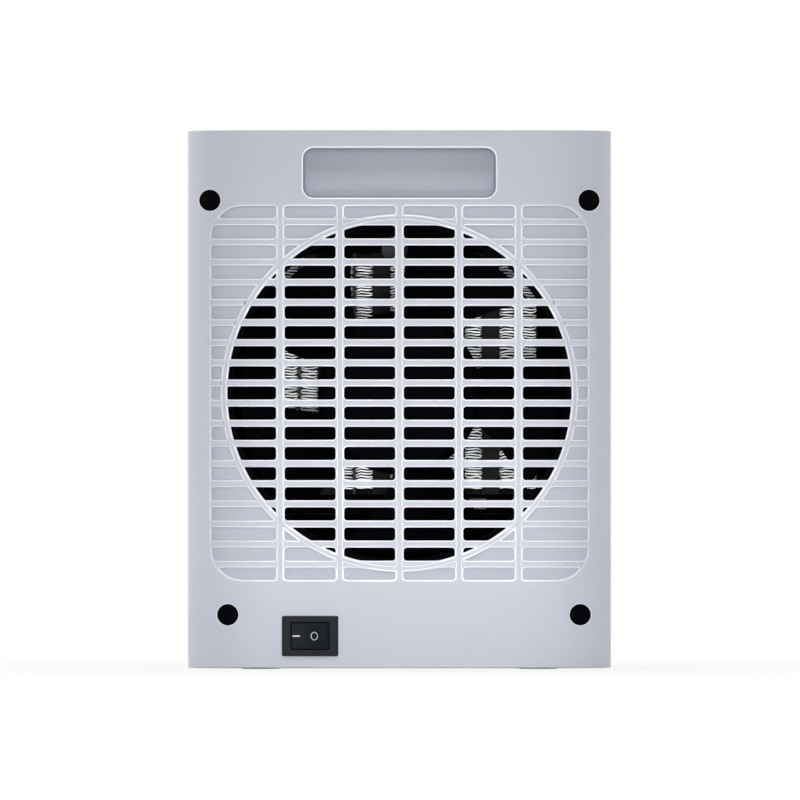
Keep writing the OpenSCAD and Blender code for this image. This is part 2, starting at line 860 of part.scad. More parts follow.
// One blade as a bent sheet: i steps outwards, j across, s picks the rear or front skin
blade_steps = 8;
function blade_point(i, j, s) =
    let (u = i / blade_steps, v = j / blade_steps, root = hub_r - 1.2,
        r = root + u * (tip_r - root),
        turn = (v - 0.5) * (blade_angle + blade_flare * u) - blade_sweep * u,
        depth = (v - 0.5) * (blade_rise - blade_t - 2 * u) - 2.2 * sin(180 * v))
    [r * cos(turn), depth + s * blade_t / 2 * (1 - 0.6 * abs(2 * v - 1)), r * sin(turn)];

module blade() {
    n = blade_steps + 1;
    points = [for (s = [-1, 1], i = [0:blade_steps], j = [0:blade_steps]) blade_point(i, j, s)];
    skins = [for (s = [0, 1], i = [0:blade_steps - 1], j = [0:blade_steps - 1])
        let (a = s * n * n + i * n + j)
        s == 0 ? [a, a + 1, a + n + 1, a + n] : [a, a + n, a + n + 1, a + 1]];
    rims = [for (k = [0:blade_steps - 1])
        each [[k + 1, k, n * n + k, n * n + k + 1],
            [(n - 1) * n + k, (n - 1) * n + k + 1, n * n + (n - 1) * n + k + 1, n * n + (n - 1) * n + k],
            [k * n, (k + 1) * n, n * n + (k + 1) * n, n * n + k * n],
            [(k + 1) * n + n - 1, k * n + n - 1, n * n + k * n + n - 1, n * n + (k + 1) * n + n - 1]]];
    polyhedron(points, concat(skins, rims), convexity = 4);
}

module fan_impeller() {
    color(dark_col) {
        difference() {
            union() {
                along_y(0, hub_y, axis_z) rotate_extrude() difference() {
                    union() {
                        square([hub_r - 3, 3]);
                        translate([0, 3]) square([hub_r, hub_d - 3]);
                        translate([hub_r - 3, 3]) circle(3);
                    }
                    translate([-eps, hub_wall]) square([hub_r - hub_wall + eps, hub_d]);
                    translate([-hub_r, -1]) square([hub_r, hub_d]);
                }
                along_y(0, hub_y + 1, axis_z) cylinder(r = hub_boss_r, h = hub_d - 7);
                for (i = [0:blades - 1])
                    translate([0, blade_y, axis_z]) rotate([0, -blade_centre(i), 0]) blade();
            }
            along_y(0, shaft_tip_y - 0.5, axis_z) cylinder(r = shaft_r + 0.02, h = hub_d);
        }
    }
}

// ---- motor ----

module motor_can() {
    color(steel_col) difference() {
        union() {
            along_y(0, motor_y, axis_z) cylinder(r = motor_r, h = motor_l);
            along_y(0, motor_y - boss_l, axis_z) cylinder(r = boss_r, h = boss_l + 1);
        }
        along_y(0, motor_y + can_t, axis_z) cylinder(r = motor_r - can_t, h = motor_l);
        along_y(0, motor_y - boss_l - 1, axis_z) cylinder(r = bush_r, h = boss_l + 4);
        for (s = [-1, 1]) along_y(s * motor_screw_in, motor_y - 1, axis_z)
            cylinder(r = motor_screw_r + run_gap, h = 4);
    }
}

module motor_end_cap() {
    color(dark_col) difference() {
        union() {
            along_y(0, motor_end_y, axis_z) cylinder(r = motor_r, h = cap_t);
            along_y(0, motor_end_y - 2, axis_z) cylinder(r = motor_r - can_t - snug, h = 3);
            for (s = [-1, 1]) translate([s * motor_r / 2 - tab_w / 2, motor_end_y + cap_t - 1, axis_z - tab_t / 2])
                cube([tab_w, core_y - motor_end_y - cap_t - 1, tab_t]);
        }
        along_y(0, motor_end_y - 3, axis_z) cylinder(r = bush_r, h = cap_t + 2.2);
    }
}

module motor_magnets() {
    color([0.25, 0.25, 0.27]) difference() {
        along_y(0, motor_y + 4, axis_z) cylinder(r = motor_r - can_t - 0.05, h = magnet_l);
        along_y(0, motor_y + 3, axis_z) cylinder(r = motor_r - can_t - magnet_t, h = motor_l);
        for (s = [-1, 1])
            translate([-magnet_slot / 2, motor_y + 3, axis_z + s * motor_r - motor_r / 2])
                cube([magnet_slot, motor_l, motor_r]);
    }
}

module motor_armature() {
    core_r = motor_r - can_t - magnet_t - air_gap;
    color([0.72, 0.45, 0.28]) difference() {
        along_y(0, motor_y + pole_in, axis_z) difference() {
            cylinder(r = core_r, h = motor_l - 2 * pole_in - 1);
            for (i = [0:4]) rotate(i * 72) translate([core_r - 3, -1.2, -1]) cube([4, 2.4, motor_l]);
        }
        along_y(0, motor_y, axis_z) cylinder(r = shaft_r + 0.02, h = motor_l);
    }
}

module motor_shaft() {
    color(steel_col) along_y(0, shaft_tip_y, axis_z) cylinder(r = shaft_r, h = shaft_end_y - shaft_tip_y);
}

module motor_bushes() {
    color(brass_col) for (y = [motor_y - boss_l, motor_end_y - 2.2]) difference() {
        along_y(0, y, axis_z) cylinder(r = bush_r - 0.02, h = bush_l);
        along_y(0, y - 1, axis_z) cylinder(r = shaft_r + run_gap, h = bush_l + 2);
    }
}

module motor_screws() {
    color(steel_col) for (s = [-1, 1])
        along_y(s * motor_screw_in, plate_y - disc_t, axis_z) screw(motor_screw_r, disc_t + can_t + 1.5);
}

// ---- heater ----

fin_foot = core_z - fin_h / 2;
fin_top = core_z + fin_h / 2;
frame_w = socket_w - 2 * gap;
function tube_x(i) = core_shift + (i - (tubes - 1) / 2) * tube_pitch;
function partition_x(i) = core_shift + (i - tubes / 2) * tube_pitch;

// Zigzag outline of one fin strip: up one side of the foil and down the other
folds = floor((fin_h - 1) / fold_pitch);
foil_shift = foil_t * sqrt(fold_pitch * fold_pitch + fin_w * fin_w) / fold_pitch;
function zigzag(side) = [for (k = [0:folds])
    [k % 2 == 0 ? side * foil_shift - fin_w / 2 : fin_w / 2 - (1 - side) * foil_shift, k * fold_pitch]];
function reversed(list) = [for (k = [len(list) - 1:-1:0]) list[k]];

module fin_strip(x) {
    translate([x, 0, core_z - folds * fold_pitch / 2])
        upright(core_y, core_y + core_d) polygon(concat(zigzag(0), reversed(zigzag(1))));
}

module heater_fins() {
    color([0.86, 0.87, 0.88]) for (i = [0:tubes], s = [-1, 1])
        fin_strip(partition_x(i) + s * (plate_t / 2 + fin_w / 2 + snug));
}

module fin_plates() {
    color([0.86, 0.87, 0.88]) for (i = [0:tubes])
        translate([partition_x(i) - plate_t / 2, core_y, fin_foot]) cube([plate_t, core_d, fin_h]);
}

module ptc_tubes() {
    color([0.22, 0.21, 0.2]) for (i = [0:tubes - 1]) translate([tube_x(i), 0, core_z])
        upright(core_y, core_y + core_d) rounded_rect(tube_w, fin_h + frame_bar, 1);
}

// Outline of the heater frame's bars, seen from the back
module tube_sockets() {
    for (i = [0:tubes - 1]) translate([tube_x(i), 0, core_z])
        upright(core_y - snug, core_y + core_d + snug)
            square([tube_w + 2 * snug, fin_h + frame_bar + 2 * snug], center = true);
}

module heater_frame_top() {
    color(dark_col) difference() {
        translate([-frame_w / 2, core_y - frame_lip, fin_top + snug]) cube([frame_w, frame_d, frame_bar - snug]);
        tube_sockets();
    }
}

module heater_frame_bottom() {
    left_w = frame_w / 2 - core_w / 2 + core_shift;
    right_w = frame_w / 2 - core_w / 2 - core_shift;
    color(dark_col) difference() {
        union() {
            translate([-frame_w / 2, core_y - frame_lip, fin_foot - frame_bar])
                cube([frame_w, frame_d, frame_bar - snug]);
            translate([-frame_w / 2, core_y - frame_lip, fin_foot - 1])
                cube([left_w - snug, frame_d, fin_h + 1]);
            translate([frame_w / 2 - right_w + snug, core_y - frame_lip, fin_foot - 1])
                cube([right_w - snug, frame_d, fin_h + 1]);
        }
        tube_sockets();
        for (i = [0:tubes - 1])
            translate([tube_x(i) - tab_w / 2 - 0.2, core_y + core_d / 2 - tab_t / 2 - 0.2, fin_foot - frame_bar - 1])
                cube([tab_w + 0.4, tab_t + 0.4, frame_bar]);
    }
}

module heater_terminals() {
    color(brass_col) for (i = [0:tubes - 1])
        translate([tube_x(i) - tab_w / 2, core_y + core_d / 2 - tab_t / 2, fin_foot - frame_bar - 0.2])
            cube([tab_w, tab_t, frame_bar / 2]);
}

module thermal_cutout() {
    cup_h = 6;
    color(ivory_col) along_y(core_shift - 5.2, core_y - frame_lip - cup_h, fin_top + 1.5) {
        cylinder(r = 3.6, h = cup_h);
        translate([0, 0, 2]) cylinder(r = 5, h = cup_h - 2);
    }
}

module thermal_fuse() {
    color(ivory_col) translate([core_shift + fuse_x, core_y - frame_lip - 2.2, fin_foot - frame_bar / 2])
        rotate([0, 90, 0]) {
            cylinder(r = 2, h = fuse_l);
            translate([0, 0, -fuse_lead_l]) cylinder(r = 0.5, h = fuse_l + 2 * fuse_lead_l);
        }
}

// ---- main switch ----

// Paddle in its middle position: round ends about the pivot, shallow V on top
module rocker_profile() {
    valley_h = crest_h - crest_half * tan(rocker_tilt);
    intersection() {
        circle(rocker_r);
        polygon([[-crest_half, crest_h], [0, valley_h], [crest_half, crest_h], [rocker_r, 1.5],
            [3.2, -2], [-3.2, -2], [-rocker_r, 1.5]]);
    }
}

module switch_rocker() {
    color(dark_col) translate([switch_x, pivot_y, bezel_z]) {
        translate([0, 0, -rocker_h / 2]) rotate(-rocker_tilt)
            mirror([0, 1]) linear_extrude(rocker_h) rocker_profile();
        cylinder(r = 1.2, h = rocker_h + 1.6, center = true);
    }
}

module switch_body() {
    cavity_h = rocker_h + 0.4;
    color(dark_col) difference() {
        translate([switch_x, 0, bezel_z]) {
            upright(rear_y - bezel_t, rear_y) rounded_rect(bezel_w, bezel_h, 0.6);
            upright(rear_y, rear_y + switch_body_d) square([switch_body_w, switch_body_h], center = true);
            for (s = [-1, 1]) translate([0, inner_y + 1.6, s * switch_body_h / 2])
                cube([6, 2, 1.2], center = true);
        }
        translate([switch_x, pivot_y, bezel_z]) {
            cylinder(r = rocker_r + 0.25, h = cavity_h, center = true);
            cylinder(r = 1.2 + run_gap, h = rocker_h + 2, center = true);
        }
    }
}

module switch_terminals() {
    color(brass_col) for (x = [-7, 0, 7])
        translate([switch_x + x - tab_t / 2, rear_y + switch_body_d, bezel_z - tab_w / 2]) cube([tab_t, 8, tab_w]);
}

// ---- gland, feet and fasteners ----

module cord_gland() {
    color(dark_col) translate([body_w / 2, gland_y, gland_z]) rotate([0, -90, 0]) difference() {
        union() {
            cylinder(r = 7, h = 1.2);
            cylinder(r = 5, h = wall + 5);
            translate([0, 0, wall]) cylinder(r = 7, h = 3);
        }
        translate([0, 0, -1]) cylinder(r = gland_bore_r, h = wall + 8);
    }
}

module rubber_feet() {
    color(dark_col) for (s = [-1, 1], y = [rear_y + foot_in_y, front_y - foot_in_y])
        translate([s * (body_w / 2 - foot_in_x), y, 0]) {
            cylinder(r = foot_r, h = foot_h);
            cylinder(r = foot_stem_r - 0.02, h = floor_z + 1.5);
        }
}

module cover_screws() {
    color(steel_col) for (p = well_at) along_y(p[0], seam_y - seat_t, p[1]) screw(cover_screw_r, seat_t + cover_screw_grip);
}

// Plugs in the screw wells, their ends following the casing's skin
module screw_plugs() {
    color(dark_col) for (p = well_at) intersection() {
        along_y(p[0], rear_y, p[1]) cylinder(r = well_r - 0.02, h = skin_y(p[0]) - rear_y + plug_d);
        casing_core(0.4, base_z, top_z);
    }
}

// Station of the casing's rear skin at a distance x from the middle
function skin_y(x) = let (over = max(0, abs(x) - (body_w / 2 - corner_r)))
    rear_y + corner_r - sqrt(corner_r * corner_r - over * over);

module duct_screws() {
    color(steel_col) for (p = duct_post_at) along_y(p[0], plate_y - duct_wall, p[1]) screw(duct_screw_r, duct_screw_l);
}

module board_screws() {
    color(steel_col) {
        for (p = power_post_at) translate([p[0], p[1], power_top]) mirror([0, 0, 1]) screw(1.2, board_t + 4);
        for (p = control_post_at) translate([p[0], p[1], control_z - board_t]) screw(1.2, board_t + 4);
    }
}

rear_cover();
front_housing();
front_grille();
control_panel();
button_power();
button_up();
button_down();
control_board();
tact_switches();
indicator_lights();
power_board();
relays();
filter_capacitor();
lead_connectors();
tilt_switch();
fan_duct();
fan_impeller();
motor_can();
motor_end_cap();
motor_magnets();
motor_armature();
motor_shaft();
motor_bushes();
motor_screws();
heater_frame_top();
heater_frame_bottom();
ptc_tubes();
heater_fins();
fin_plates();
heater_terminals();
thermal_cutout();
thermal_fuse();
switch_body();
switch_rocker();
switch_terminals();
cord_gland();
rubber_feet();
cover_screws();
screw_plugs();
duct_screws();
board_screws();
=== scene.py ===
import math

import bmesh
import bpy
import numpy as np
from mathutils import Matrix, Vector
from mathutils.geometry import delaunay_2d_cdt


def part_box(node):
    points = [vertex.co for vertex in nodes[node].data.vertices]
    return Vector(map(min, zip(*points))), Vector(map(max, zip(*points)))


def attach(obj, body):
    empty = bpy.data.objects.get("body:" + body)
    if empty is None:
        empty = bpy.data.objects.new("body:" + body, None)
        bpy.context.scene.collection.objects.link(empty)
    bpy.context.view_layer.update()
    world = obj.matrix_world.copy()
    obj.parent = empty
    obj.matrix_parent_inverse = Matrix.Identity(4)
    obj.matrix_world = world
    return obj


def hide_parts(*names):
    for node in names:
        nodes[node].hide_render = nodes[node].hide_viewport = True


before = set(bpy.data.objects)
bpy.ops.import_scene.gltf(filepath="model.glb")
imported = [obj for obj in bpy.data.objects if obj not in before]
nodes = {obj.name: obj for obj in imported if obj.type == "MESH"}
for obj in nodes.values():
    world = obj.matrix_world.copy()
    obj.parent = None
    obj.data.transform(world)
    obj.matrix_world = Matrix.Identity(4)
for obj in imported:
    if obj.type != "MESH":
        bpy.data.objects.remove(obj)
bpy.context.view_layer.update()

mm = 0.001
scene = bpy.context.scene
print("frame loaded with", len(nodes), "nodes")


def fromHex(hexColour):
    # sRGB hex to linear red, green, blue and alpha
    parts = np.array([int(hexColour[i:i + 2], 16) for i in (1, 3, 5)]) / 255
    values = np.where(parts <= 0.04045, parts / 12.92, ((parts + 0.055) / 1.055) ** 2.4)
    return (*values.tolist(), 1.0)


def addNode(tree, kind, values=None, links=None):
    # one shader node with its settings or socket values, and the sockets that feed it
    made = tree.nodes.new("ShaderNode" + kind)
    for key, value in (values or {}).items():
        if isinstance(key, int) or key in made.inputs:
            made.inputs[key].default_value = value
        else:
            setattr(made, key, value)
    for key, source in (links or {}).items():
        tree.links.new(made.inputs[key], source)
    return made


def newMaterial(name, values):
    # a material with its shader's plain values, and the place on the piece that its patterns follow
    made = bpy.data.materials.new(name)
    made.use_nodes = True
    tree = made.node_tree
    for key, value in values.items():
        tree.nodes["Principled BSDF"].inputs[key].default_value = value
    return made, tree, addNode(tree, "TexCoord").outputs["Object"]


def feed(tree, key, source):
    # joins an output to an input of the material's main shader
    tree.links.new(tree.nodes["Principled BSDF"].inputs[key], source)


def noiseOf(tree, place, sizeMm, detail):
    # a chance pattern with grains of about this size
    return addNode(tree, "TexNoise", {"Scale": 1 / (sizeMm * mm), "Detail": detail},
                   {"Vector": place}).outputs["Fac"]


def mapped(tree, source, fromRange, toRange, kind="LINEAR"):
    # one range turned into another, evenly or with soft ends
    return addNode(tree, "MapRange", {"interpolation_type": kind, "From Min": fromRange[0],
                                                "From Max": fromRange[1], "To Min": toRange[0],
                                                "To Max": toRange[1]}, {"Value": source}).outputs["Result"]


def mathOf(tree, operation, *sources):
    # an operation on the outputs of other nodes
    return addNode(tree, "Math", {"operation": operation}, dict(enumerate(sources))).outputs[0]


def tinted(tree, pattern, look):
    # colour that drifts between two tones with a pattern
    tones = {"data_type": "RGBA", 6: fromHex(look["low"]), 7: fromHex(look["high"])}
    feed(tree, "Base Color", addNode(tree, "Mix", tones, {0: pattern}).outputs[2])


def roughened(tree, pattern, middle, spread):
    # roughness that follows a pattern by a spread to either side of its middle
    feed(tree, "Roughness", mapped(tree, pattern, (0, 1), (middle - spread, middle + spread)))


def embossed(tree, pattern, strength, depthMm):
    # relief that follows a pattern
    relief = addNode(tree, "Bump", {"Strength": strength, "Distance": depthMm * mm}, {"Height": pattern})
    feed(tree, "Normal", relief.outputs["Normal"])


def mouldedPlastic(name, look):
    # injection-moulded ABS or PBT: pigment nearly even, fine spark-eroded grain, satin sheen
    made, tree, place = newMaterial(name, {"IOR": look.get("ior", 1.53), "Roughness": look["roughness"],
                                           "Specular IOR Level": look["shine"]})
    tinted(tree, noiseOf(tree, place, look["driftMm"], detail=2.0), look)
    grain = noiseOf(tree, place, look["grainMm"], detail=3.0)
    roughened(tree, grain, look["roughness"], spread=0.05)
    embossed(tree, grain, look["relief"], look["reliefMm"])
    return made


def mouldedRubber(name, look):
    # EPDM rubber: broad dull sheen, dusty mottling
    made, tree, place = newMaterial(name, {"IOR": 1.52, "Roughness": look["roughness"],
                                           "Specular IOR Level": look["shine"]})
    mottle = noiseOf(tree, place, look["mottleMm"], detail=5.0)
    tinted(tree, mottle, look)
    embossed(tree, mottle, strength=0.25, depthMm=0.03)
    return made


def sheetMetal(name, look):
    # rolled or drawn metal: fine lines along the rolling direction, which change colour and shine a little
    made, tree, place = newMaterial(name, {"Metallic": 1.0, "Roughness": look["roughness"]})
    stretched = addNode(tree, "Mapping", {"Scale": look["lines"]}, {"Vector": place}).outputs["Vector"]
    lines = noiseOf(tree, stretched, look["lineMm"], detail=4.0)
    tinted(tree, lines, look)
    roughened(tree, lines, look["roughness"], spread=0.08)
    embossed(tree, lines, look["relief"], depthMm=0.02)
    return made


def solderMask(name, look):
    # glass-epoxy board under green solder mask: copper tracks show as paler bands
    made, tree, place = newMaterial(name, {"IOR": 1.5, "Roughness": 0.32})
    tracks = addNode(tree, "TexBrick",
                     {"Color1": fromHex(look["mask"]), "Color2": fromHex(look["track"]),
                      "Mortar": fromHex(look["gap"]), "Scale": 1 / (look["trackMm"] * mm),
                      "Mortar Size": 0.06, "Brick Width": 3.4, "Row Height": 0.5, "offset": 0.37},
                     {"Vector": place})
    feed(tree, "Base Color", tracks.outputs["Color"])
    embossed(tree, tracks.outputs["Fac"], strength=0.4, depthMm=0.04)
    return made


def woundCopper(name, look):
    # enamelled copper wire wound over laminations: fine parallel turns
    made, tree, place = newMaterial(name, {"Metallic": 1.0, "Roughness": 0.3, "Coat Weight": 0.5})
    turns = addNode(tree, "TexWave", {"Scale": 1 / (look["wireMm"] * mm * look["perWave"]), "Distortion": 0.6,
                                                "bands_direction": "X"}, {"Vector": place}).outputs["Fac"]
    tinted(tree, turns, look)
    embossed(tree, turns, strength=0.6, depthMm=0.1)
    return made


finishes, finishOf = {}, {}


def fromTable(make, keys, rows):
    # one finish for each row of a table: the nodes that wear it, then its look in the order of the keys
    for name, (worn, *row) in rows.items():
        finishes[name] = make(name, dict(zip(keys, row)))
        finishOf.update((nodeName, name) for nodeName in worn.split())


fromTable(mouldedPlastic, ("low", "high", "driftMm", "grainMm", "roughness", "shine", "relief", "reliefMm", "ior"), {
    "paleGreyMatteAbs": ("rear_cover front_housing", "#cbced9", "#d1d4df", 60, 0.35, 0.5, 0.4, 0.1, 0.02),
    # a lighter, glossier copy of the shell plastic for the rims: painted highlight along every edge
    "burnishedPaleAbsEdge": ("", "#eff1f8", "#f6f7fc", 20, 0.5, 0.34, 1.0, 0.03, 0.01, 1.9),
    # a darker copy of the shell plastic with spark-eroded grain for the finger recess: painted shade inside the recess
    "sparkErodedPaleAbs": ("", "#c3c7d1", "#cacdd7", 40, 0.25, 0.62, 0.25, 0.2, 0.03),
    # a darker copy of the shell plastic for the blind pocket floors: painted shade in the pockets
    "texturedPaleAbs": ("", "#c2c5d0", "#c8cbd6", 40, 0.3, 0.58, 0.3, 0.15, 0.02),
    "blackSatinNylon": ("button_power button_up button_down switch_body switch_rocker",
                        "#13161c", "#191d24", 8, 0.3, 0.42, 0.06, 0.1, 0.02),
    "blackRockerNylon": ("", "#1e2125", "#24282c", 6, 0.3, 0.5, 0.04, 0.1, 0.02),
    "whitePadPrint": ("", "#dfe1e4", "#ebecee", 3, 0.3, 0.5, 0.3, 0.05, 0.01),
    "blackGlassFilledPbt": ("tact_switches tilt_switch fan_duct fan_impeller motor_end_cap heater_frame_top "
                            "heater_frame_bottom", "#010104", "#030308", 14, 0.5, 0.6, 0.02, 0.3, 0.05),
    "blackTexturedAbs": ("front_grille", "#0d0d10", "#131317", 20, 0.4, 0.5, 0.25, 0.2, 0.04),
    "polishedBlackAbs": ("control_panel", "#08080a", "#0b0b0e", 40, 1.2, 0.14, 0.5, 0.02, 0.01),
    "ivoryNylon": ("lead_connectors thermal_fuse", "#dcd6c4", "#e6e1d2", 6, 0.3, 0.45, 0.5, 0.12, 0.02),
    "blueRelayPbt": ("relays", "#1f4b93", "#2757a4", 6, 0.3, 0.3, 0.5, 0.08, 0.02),
    "yellowEpoxyDip": ("filter_capacitor", "#c59a1e", "#d3a72a", 5, 0.6, 0.22, 0.5, 0.25, 0.05),
    # PTC tubes painted near black: painted shade for the shadowed gaps between the fin strips
    "darkPolyimideFilm": ("ptc_tubes", "#060403", "#0c0805", 10, 1.5, 0.45, 0.1, 0.3, 0.05),
    "sinteredFerrite": ("motor_magnets", "#2b2b2e", "#38383b", 3, 0.2, 0.6, 0.5, 0.3, 0.03),
    "frostedClearPmma": ("indicator_lights", "#d8dad6", "#e4e6e2", 3, 0.2, 0.25, 0.5, 0.1, 0.01, 1.49),
})
fromTable(mouldedRubber, ("low", "high", "mottleMm", "roughness", "shine"), {
    "blackEpdmRubber": ("cord_gland screw_plugs", "#010103", "#020306", 1.2, 0.5, 0.02),
    "paleGreyEpdmRubber": ("rubber_feet", "#dcdee4", "#e6e8ed", 1.2, 0.6, 0.3),
})
fromTable(sheetMetal, ("low", "high", "roughness", "lines", "lineMm", "relief"), {
    "brightAluminiumFoil": ("heater_fins", "#909396", "#fafafb", 0.38, (0.5, 0.3, 1), 0.9, 0.4),
    # fin plates, terminals and cut-out painted dark grey, far below bare aluminium: painted shade for the dim inside
    # of the heater
    "dulledAluminiumSheet": ("fin_plates heater_terminals thermal_cutout",
                             "#3c3e42", "#55575b", 0.55, (1, 0.1, 1), 0.4, 0.2),
    "zincPlatedSteel": ("motor_can motor_shaft motor_screws cover_screws duct_screws board_screws",
                        "#b2b4b8", "#c6c8cc", 0.3, (1, 1, 0.2), 0.3, 0.15),
    "stampedBrass": ("switch_terminals", "#b8964c", "#cdac60", 0.3, (1, 0.2, 1), 0.3, 0.15),
    "sinteredBronze": ("motor_bushes", "#8f6a34", "#a57f42", 0.42, (1, 1, 1), 0.15, 0.4),
})
fromTable(solderMask, ("mask", "track", "gap", "trackMm"), {
    "greenSolderMask": ("control_board power_board", "#0f4a2c", "#16603a", "#0b3a22", 2.4),
})
fromTable(woundCopper, ("low", "high", "wireMm", "perWave"), {
    "enamelledCopperWire": ("motor_armature", "#7a3f1c", "#c4763a", 0.35, 6.28),
})
# the frosted lenses let about half of the light through
clearShader = finishes["frostedClearPmma"].node_tree.nodes["Principled BSDF"]
clearShader.inputs["Transmission Weight"].default_value = 0.5

for nodeName, finish in finishOf.items():
    nodes[nodeName].data.materials.clear()
    nodes[nodeName].data.materials.append(finishes[finish])
print("materials on", len(finishOf), "nodes")


def linked(name, data):
    # a new object in the scene
    made = bpy.data.objects.new(name, data)
    scene.collection.objects.link(made)
    return made


def boxOf(nodeName):
    # lowest and highest corner of a node, in mm
    return [np.array(corner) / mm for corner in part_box(nodeName)]


def addPiece(name, mesh, worn, body, *nodeNames):
    # a finished piece on a body, in place of its node, with its finishes in the order of their slots
    piece = linked(name, mesh)
    for finish in worn.split():
        mesh.materials.append(finishes[finish])
    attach(piece, body)
    for nodeName in nodeNames:
        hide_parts(nodeName)
    return piece


softening = {"joinMm": 0.002, "segments": 3, "fromDegrees": 40}


def softened(nodeName, pieceName, body, edgeMm):
    # a merged copy of a moulding whose outer edges are rounded as the mould rounds them
    shape = bmesh.new()
    shape.from_mesh(nodes[nodeName].data)
    bmesh.ops.remove_doubles(shape, verts=shape.verts, dist=softening["joinMm"] * mm)
    mesh = bpy.data.meshes.new(pieceName)
    shape.to_mesh(mesh)
    shape.free()
    piece = addPiece(pieceName, mesh, finishOf[nodeName], body, nodeName)
    rounding = piece.modifiers.new("edgeRadius", "BEVEL")
    rounding.width = edgeMm * mm
    rounding.segments = softening["segments"]
    rounding.limit_method = "ANGLE"
    rounding.angle_limit = math.radians(softening["fromDegrees"])
    rounding.use_clamp_overlap = False
    rounding.harden_normals = True


# rear cover: its outlines lie in the plane of the rear face, x across and z up from the fan axis, in mm

(_, rearY, lowZ), (halfWidth, seamY, topZ) = boxOf("rear_cover")
cover = {"axisRise": 2.3, "corner": 20.0, "softness": 5.0, "edge": 0.5, "wall": 2.6, "rimDrop": 0.4, "rimRows": 4,
         "edgeRows": 7, "steepest": 0.9999, "firstColumn": 6, "flatColumns": 8, "cornerColumns": 19, "slack": 0.1,
         "rowsFrom": 3, "rowsTo": 2, "rowStep": 3.1, "clear": 0.5}
axisZ, flatHalf, wall = (lowZ + topZ) / 2 + cover["axisRise"], halfWidth - cover["corner"], cover["wall"]
grille = {"ribPitch": 22.2, "ribWidth": 3.1, "half": (70.6, 70.07), "fieldCorner": 13.5, "rows": 19,
          "rowPitch": 7.51, "slotHeight": 4.96, "ringInner": 64.2, "ringOuter": 66.7, "slotCorner": 1.2,
          "ringCorner": 0.35, "ledge": 0.42, "barSunk": 0.5, "pocketDepth": 1.7, "ribRim": 0.26, "slotRim": 0.4,
          "draft": 0.08, "cellPoints": 44, "bayPoints": 160, "bendFrom": 0.6, "bendStep": 1.3,
          "looseRows": (-69.3, 70, 1.2), "clear": 0.45}
recess = {"half": (35.9, 9.25), "corner": 3.9, "drop": 15.85, "depth": 14.0, "lean": 0.5, "lip": 0.5,
          "fillet": 0.8, "topFillet": 3.2, "filletRows": 9, "points": 120, "backCorner": 0.3, "backPoints": 64}
well = {"half": (4.0, 4.0), "corner": 4.0, "lip": 0.25, "lipDepth": 3.0, "screw": 1.6, "boss": 5.5, "seat": 3.0,
        "points": 72, "at": [(-70.7, 174.4), (70.7, 174.4), (-64.0, 19.9), (67.4, 19.9)]}
switchHole = {"x": -33.3, "z": 12.0, "half": (9.6, 6.6), "corner": 0.2, "points": 48}
footHole = {"x": 52.0, "y": 22.0, "half": (7.1, 7.1), "corner": 7.1, "sunk": 1.4, "stem": 2.5, "points": 72}
tracing = {"probe": 0.001, "steps": 14, "leastSlope": 0.05, "longestMove": 0.6, "stations": 281,
           "leastWidth": 0.02, "spacing": 0.12, "fewestPoints": 60, "offEdge": 0.01, "goodShare": 0.9,
           "leastArea": 1.2, "turnShare": 0.6, "nearMm": 1, "block": 400, "fewestStations": 6}


def roundBoxDistance(p, half, radius):
    # distance to a rounded rectangle: the distance to its core, shrunk by the radius, less the radius
    q = np.abs(p) - np.array(half) + radius
    return np.minimum(q.max(-1), 0) + np.linalg.norm(np.maximum(q, 0), axis=-1) - radius


def rounded(sides, radius):
    # sides that meet in a round corner: the length of all positive (distance + radius), less the radius
    return np.linalg.norm(np.maximum(np.array(sides) + radius, 0), axis=0) - radius


def edgeDistance(p, shape):
    # straight sides and field meet in round corners, which the ring then cuts with nearly sharp ones
    sides = [shape["x"][0] - p[..., 0], p[..., 0] - shape["x"][1],
             shape["z"][0] - p[..., 1], p[..., 1] - shape["z"][1]]
    if "field" in shape:
        sides.append(roundBoxDistance(p, *shape["field"]))
    straight = rounded(sides, shape["radius"])
    reach = np.linalg.norm(p, axis=-1)
    if "inside" in shape:
        return rounded([straight, reach - shape["inside"]], grille["ringCorner"])
    if "outside" in shape:
        return rounded([straight, shape["outside"] - reach], grille["ringCorner"])
    return straight


def pushTo(p, shape, level):
    # slides points along the slope of the edge distance until it is the level, and gives the unit slope there
    probe, longest = tracing["probe"], tracing["longestMove"]

    def slopeAt(q):
        # difference over a short step to either side
        rise = [edgeDistance(q + way, shape) - edgeDistance(q - way, shape)
                for way in probe * np.eye(2)]
        return np.stack(rise, -1) / (2 * probe)

    for _ in range(tracing["steps"]):
        slope = slopeAt(p)
        move = (edgeDistance(p, shape) - level)[:, None] * slope
        steepness = np.maximum((slope ** 2).sum(-1), tracing["leastSlope"])[:, None]
        p = p - np.clip(move / steepness, -longest, longest)
    slope = slopeAt(p)
    return p, slope / np.maximum(np.linalg.norm(slope, axis=-1, keepdims=True), 1e-9)


def sharpOutline(shape):
    # the shape with square corners: its right side upwards, then its left side downwards
    z = np.linspace(*shape["z"], tracing["stations"])
    left = np.full_like(z, shape["x"][0])
    right = np.full_like(z, shape["x"][1])
    if "field" in shape:
        half, radius = shape["field"]
        over = np.clip(np.abs(z) - (half[1] - radius), 0, radius)
        right = np.minimum(right, half[0] - radius + np.sqrt(radius ** 2 - over ** 2))
    if "inside" in shape:
        right = np.minimum(right, np.sqrt(np.maximum(shape["inside"] ** 2 - z ** 2, 0)))
    if "outside" in shape:
        left = np.maximum(left, np.sqrt(np.maximum(shape["outside"] ** 2 - z ** 2, 0)))
    free = right - left > tracing["leastWidth"]
    return np.concatenate([np.stack([right[free], z[free]], 1), np.stack([left[free], z[free]], 1)[::-1]])


def walkRound(p, weights, count):
    # points at even steps of a running weight round a closed loop
    walk = np.concatenate([[0], np.cumsum(weights)])
    closed = np.vstack([p, p[:1]])
    at = np.linspace(0, walk[-1], count, endpoint=False)
    return np.stack([np.interp(at, walk, closed[:, k]) for k in (0, 1)], 1)


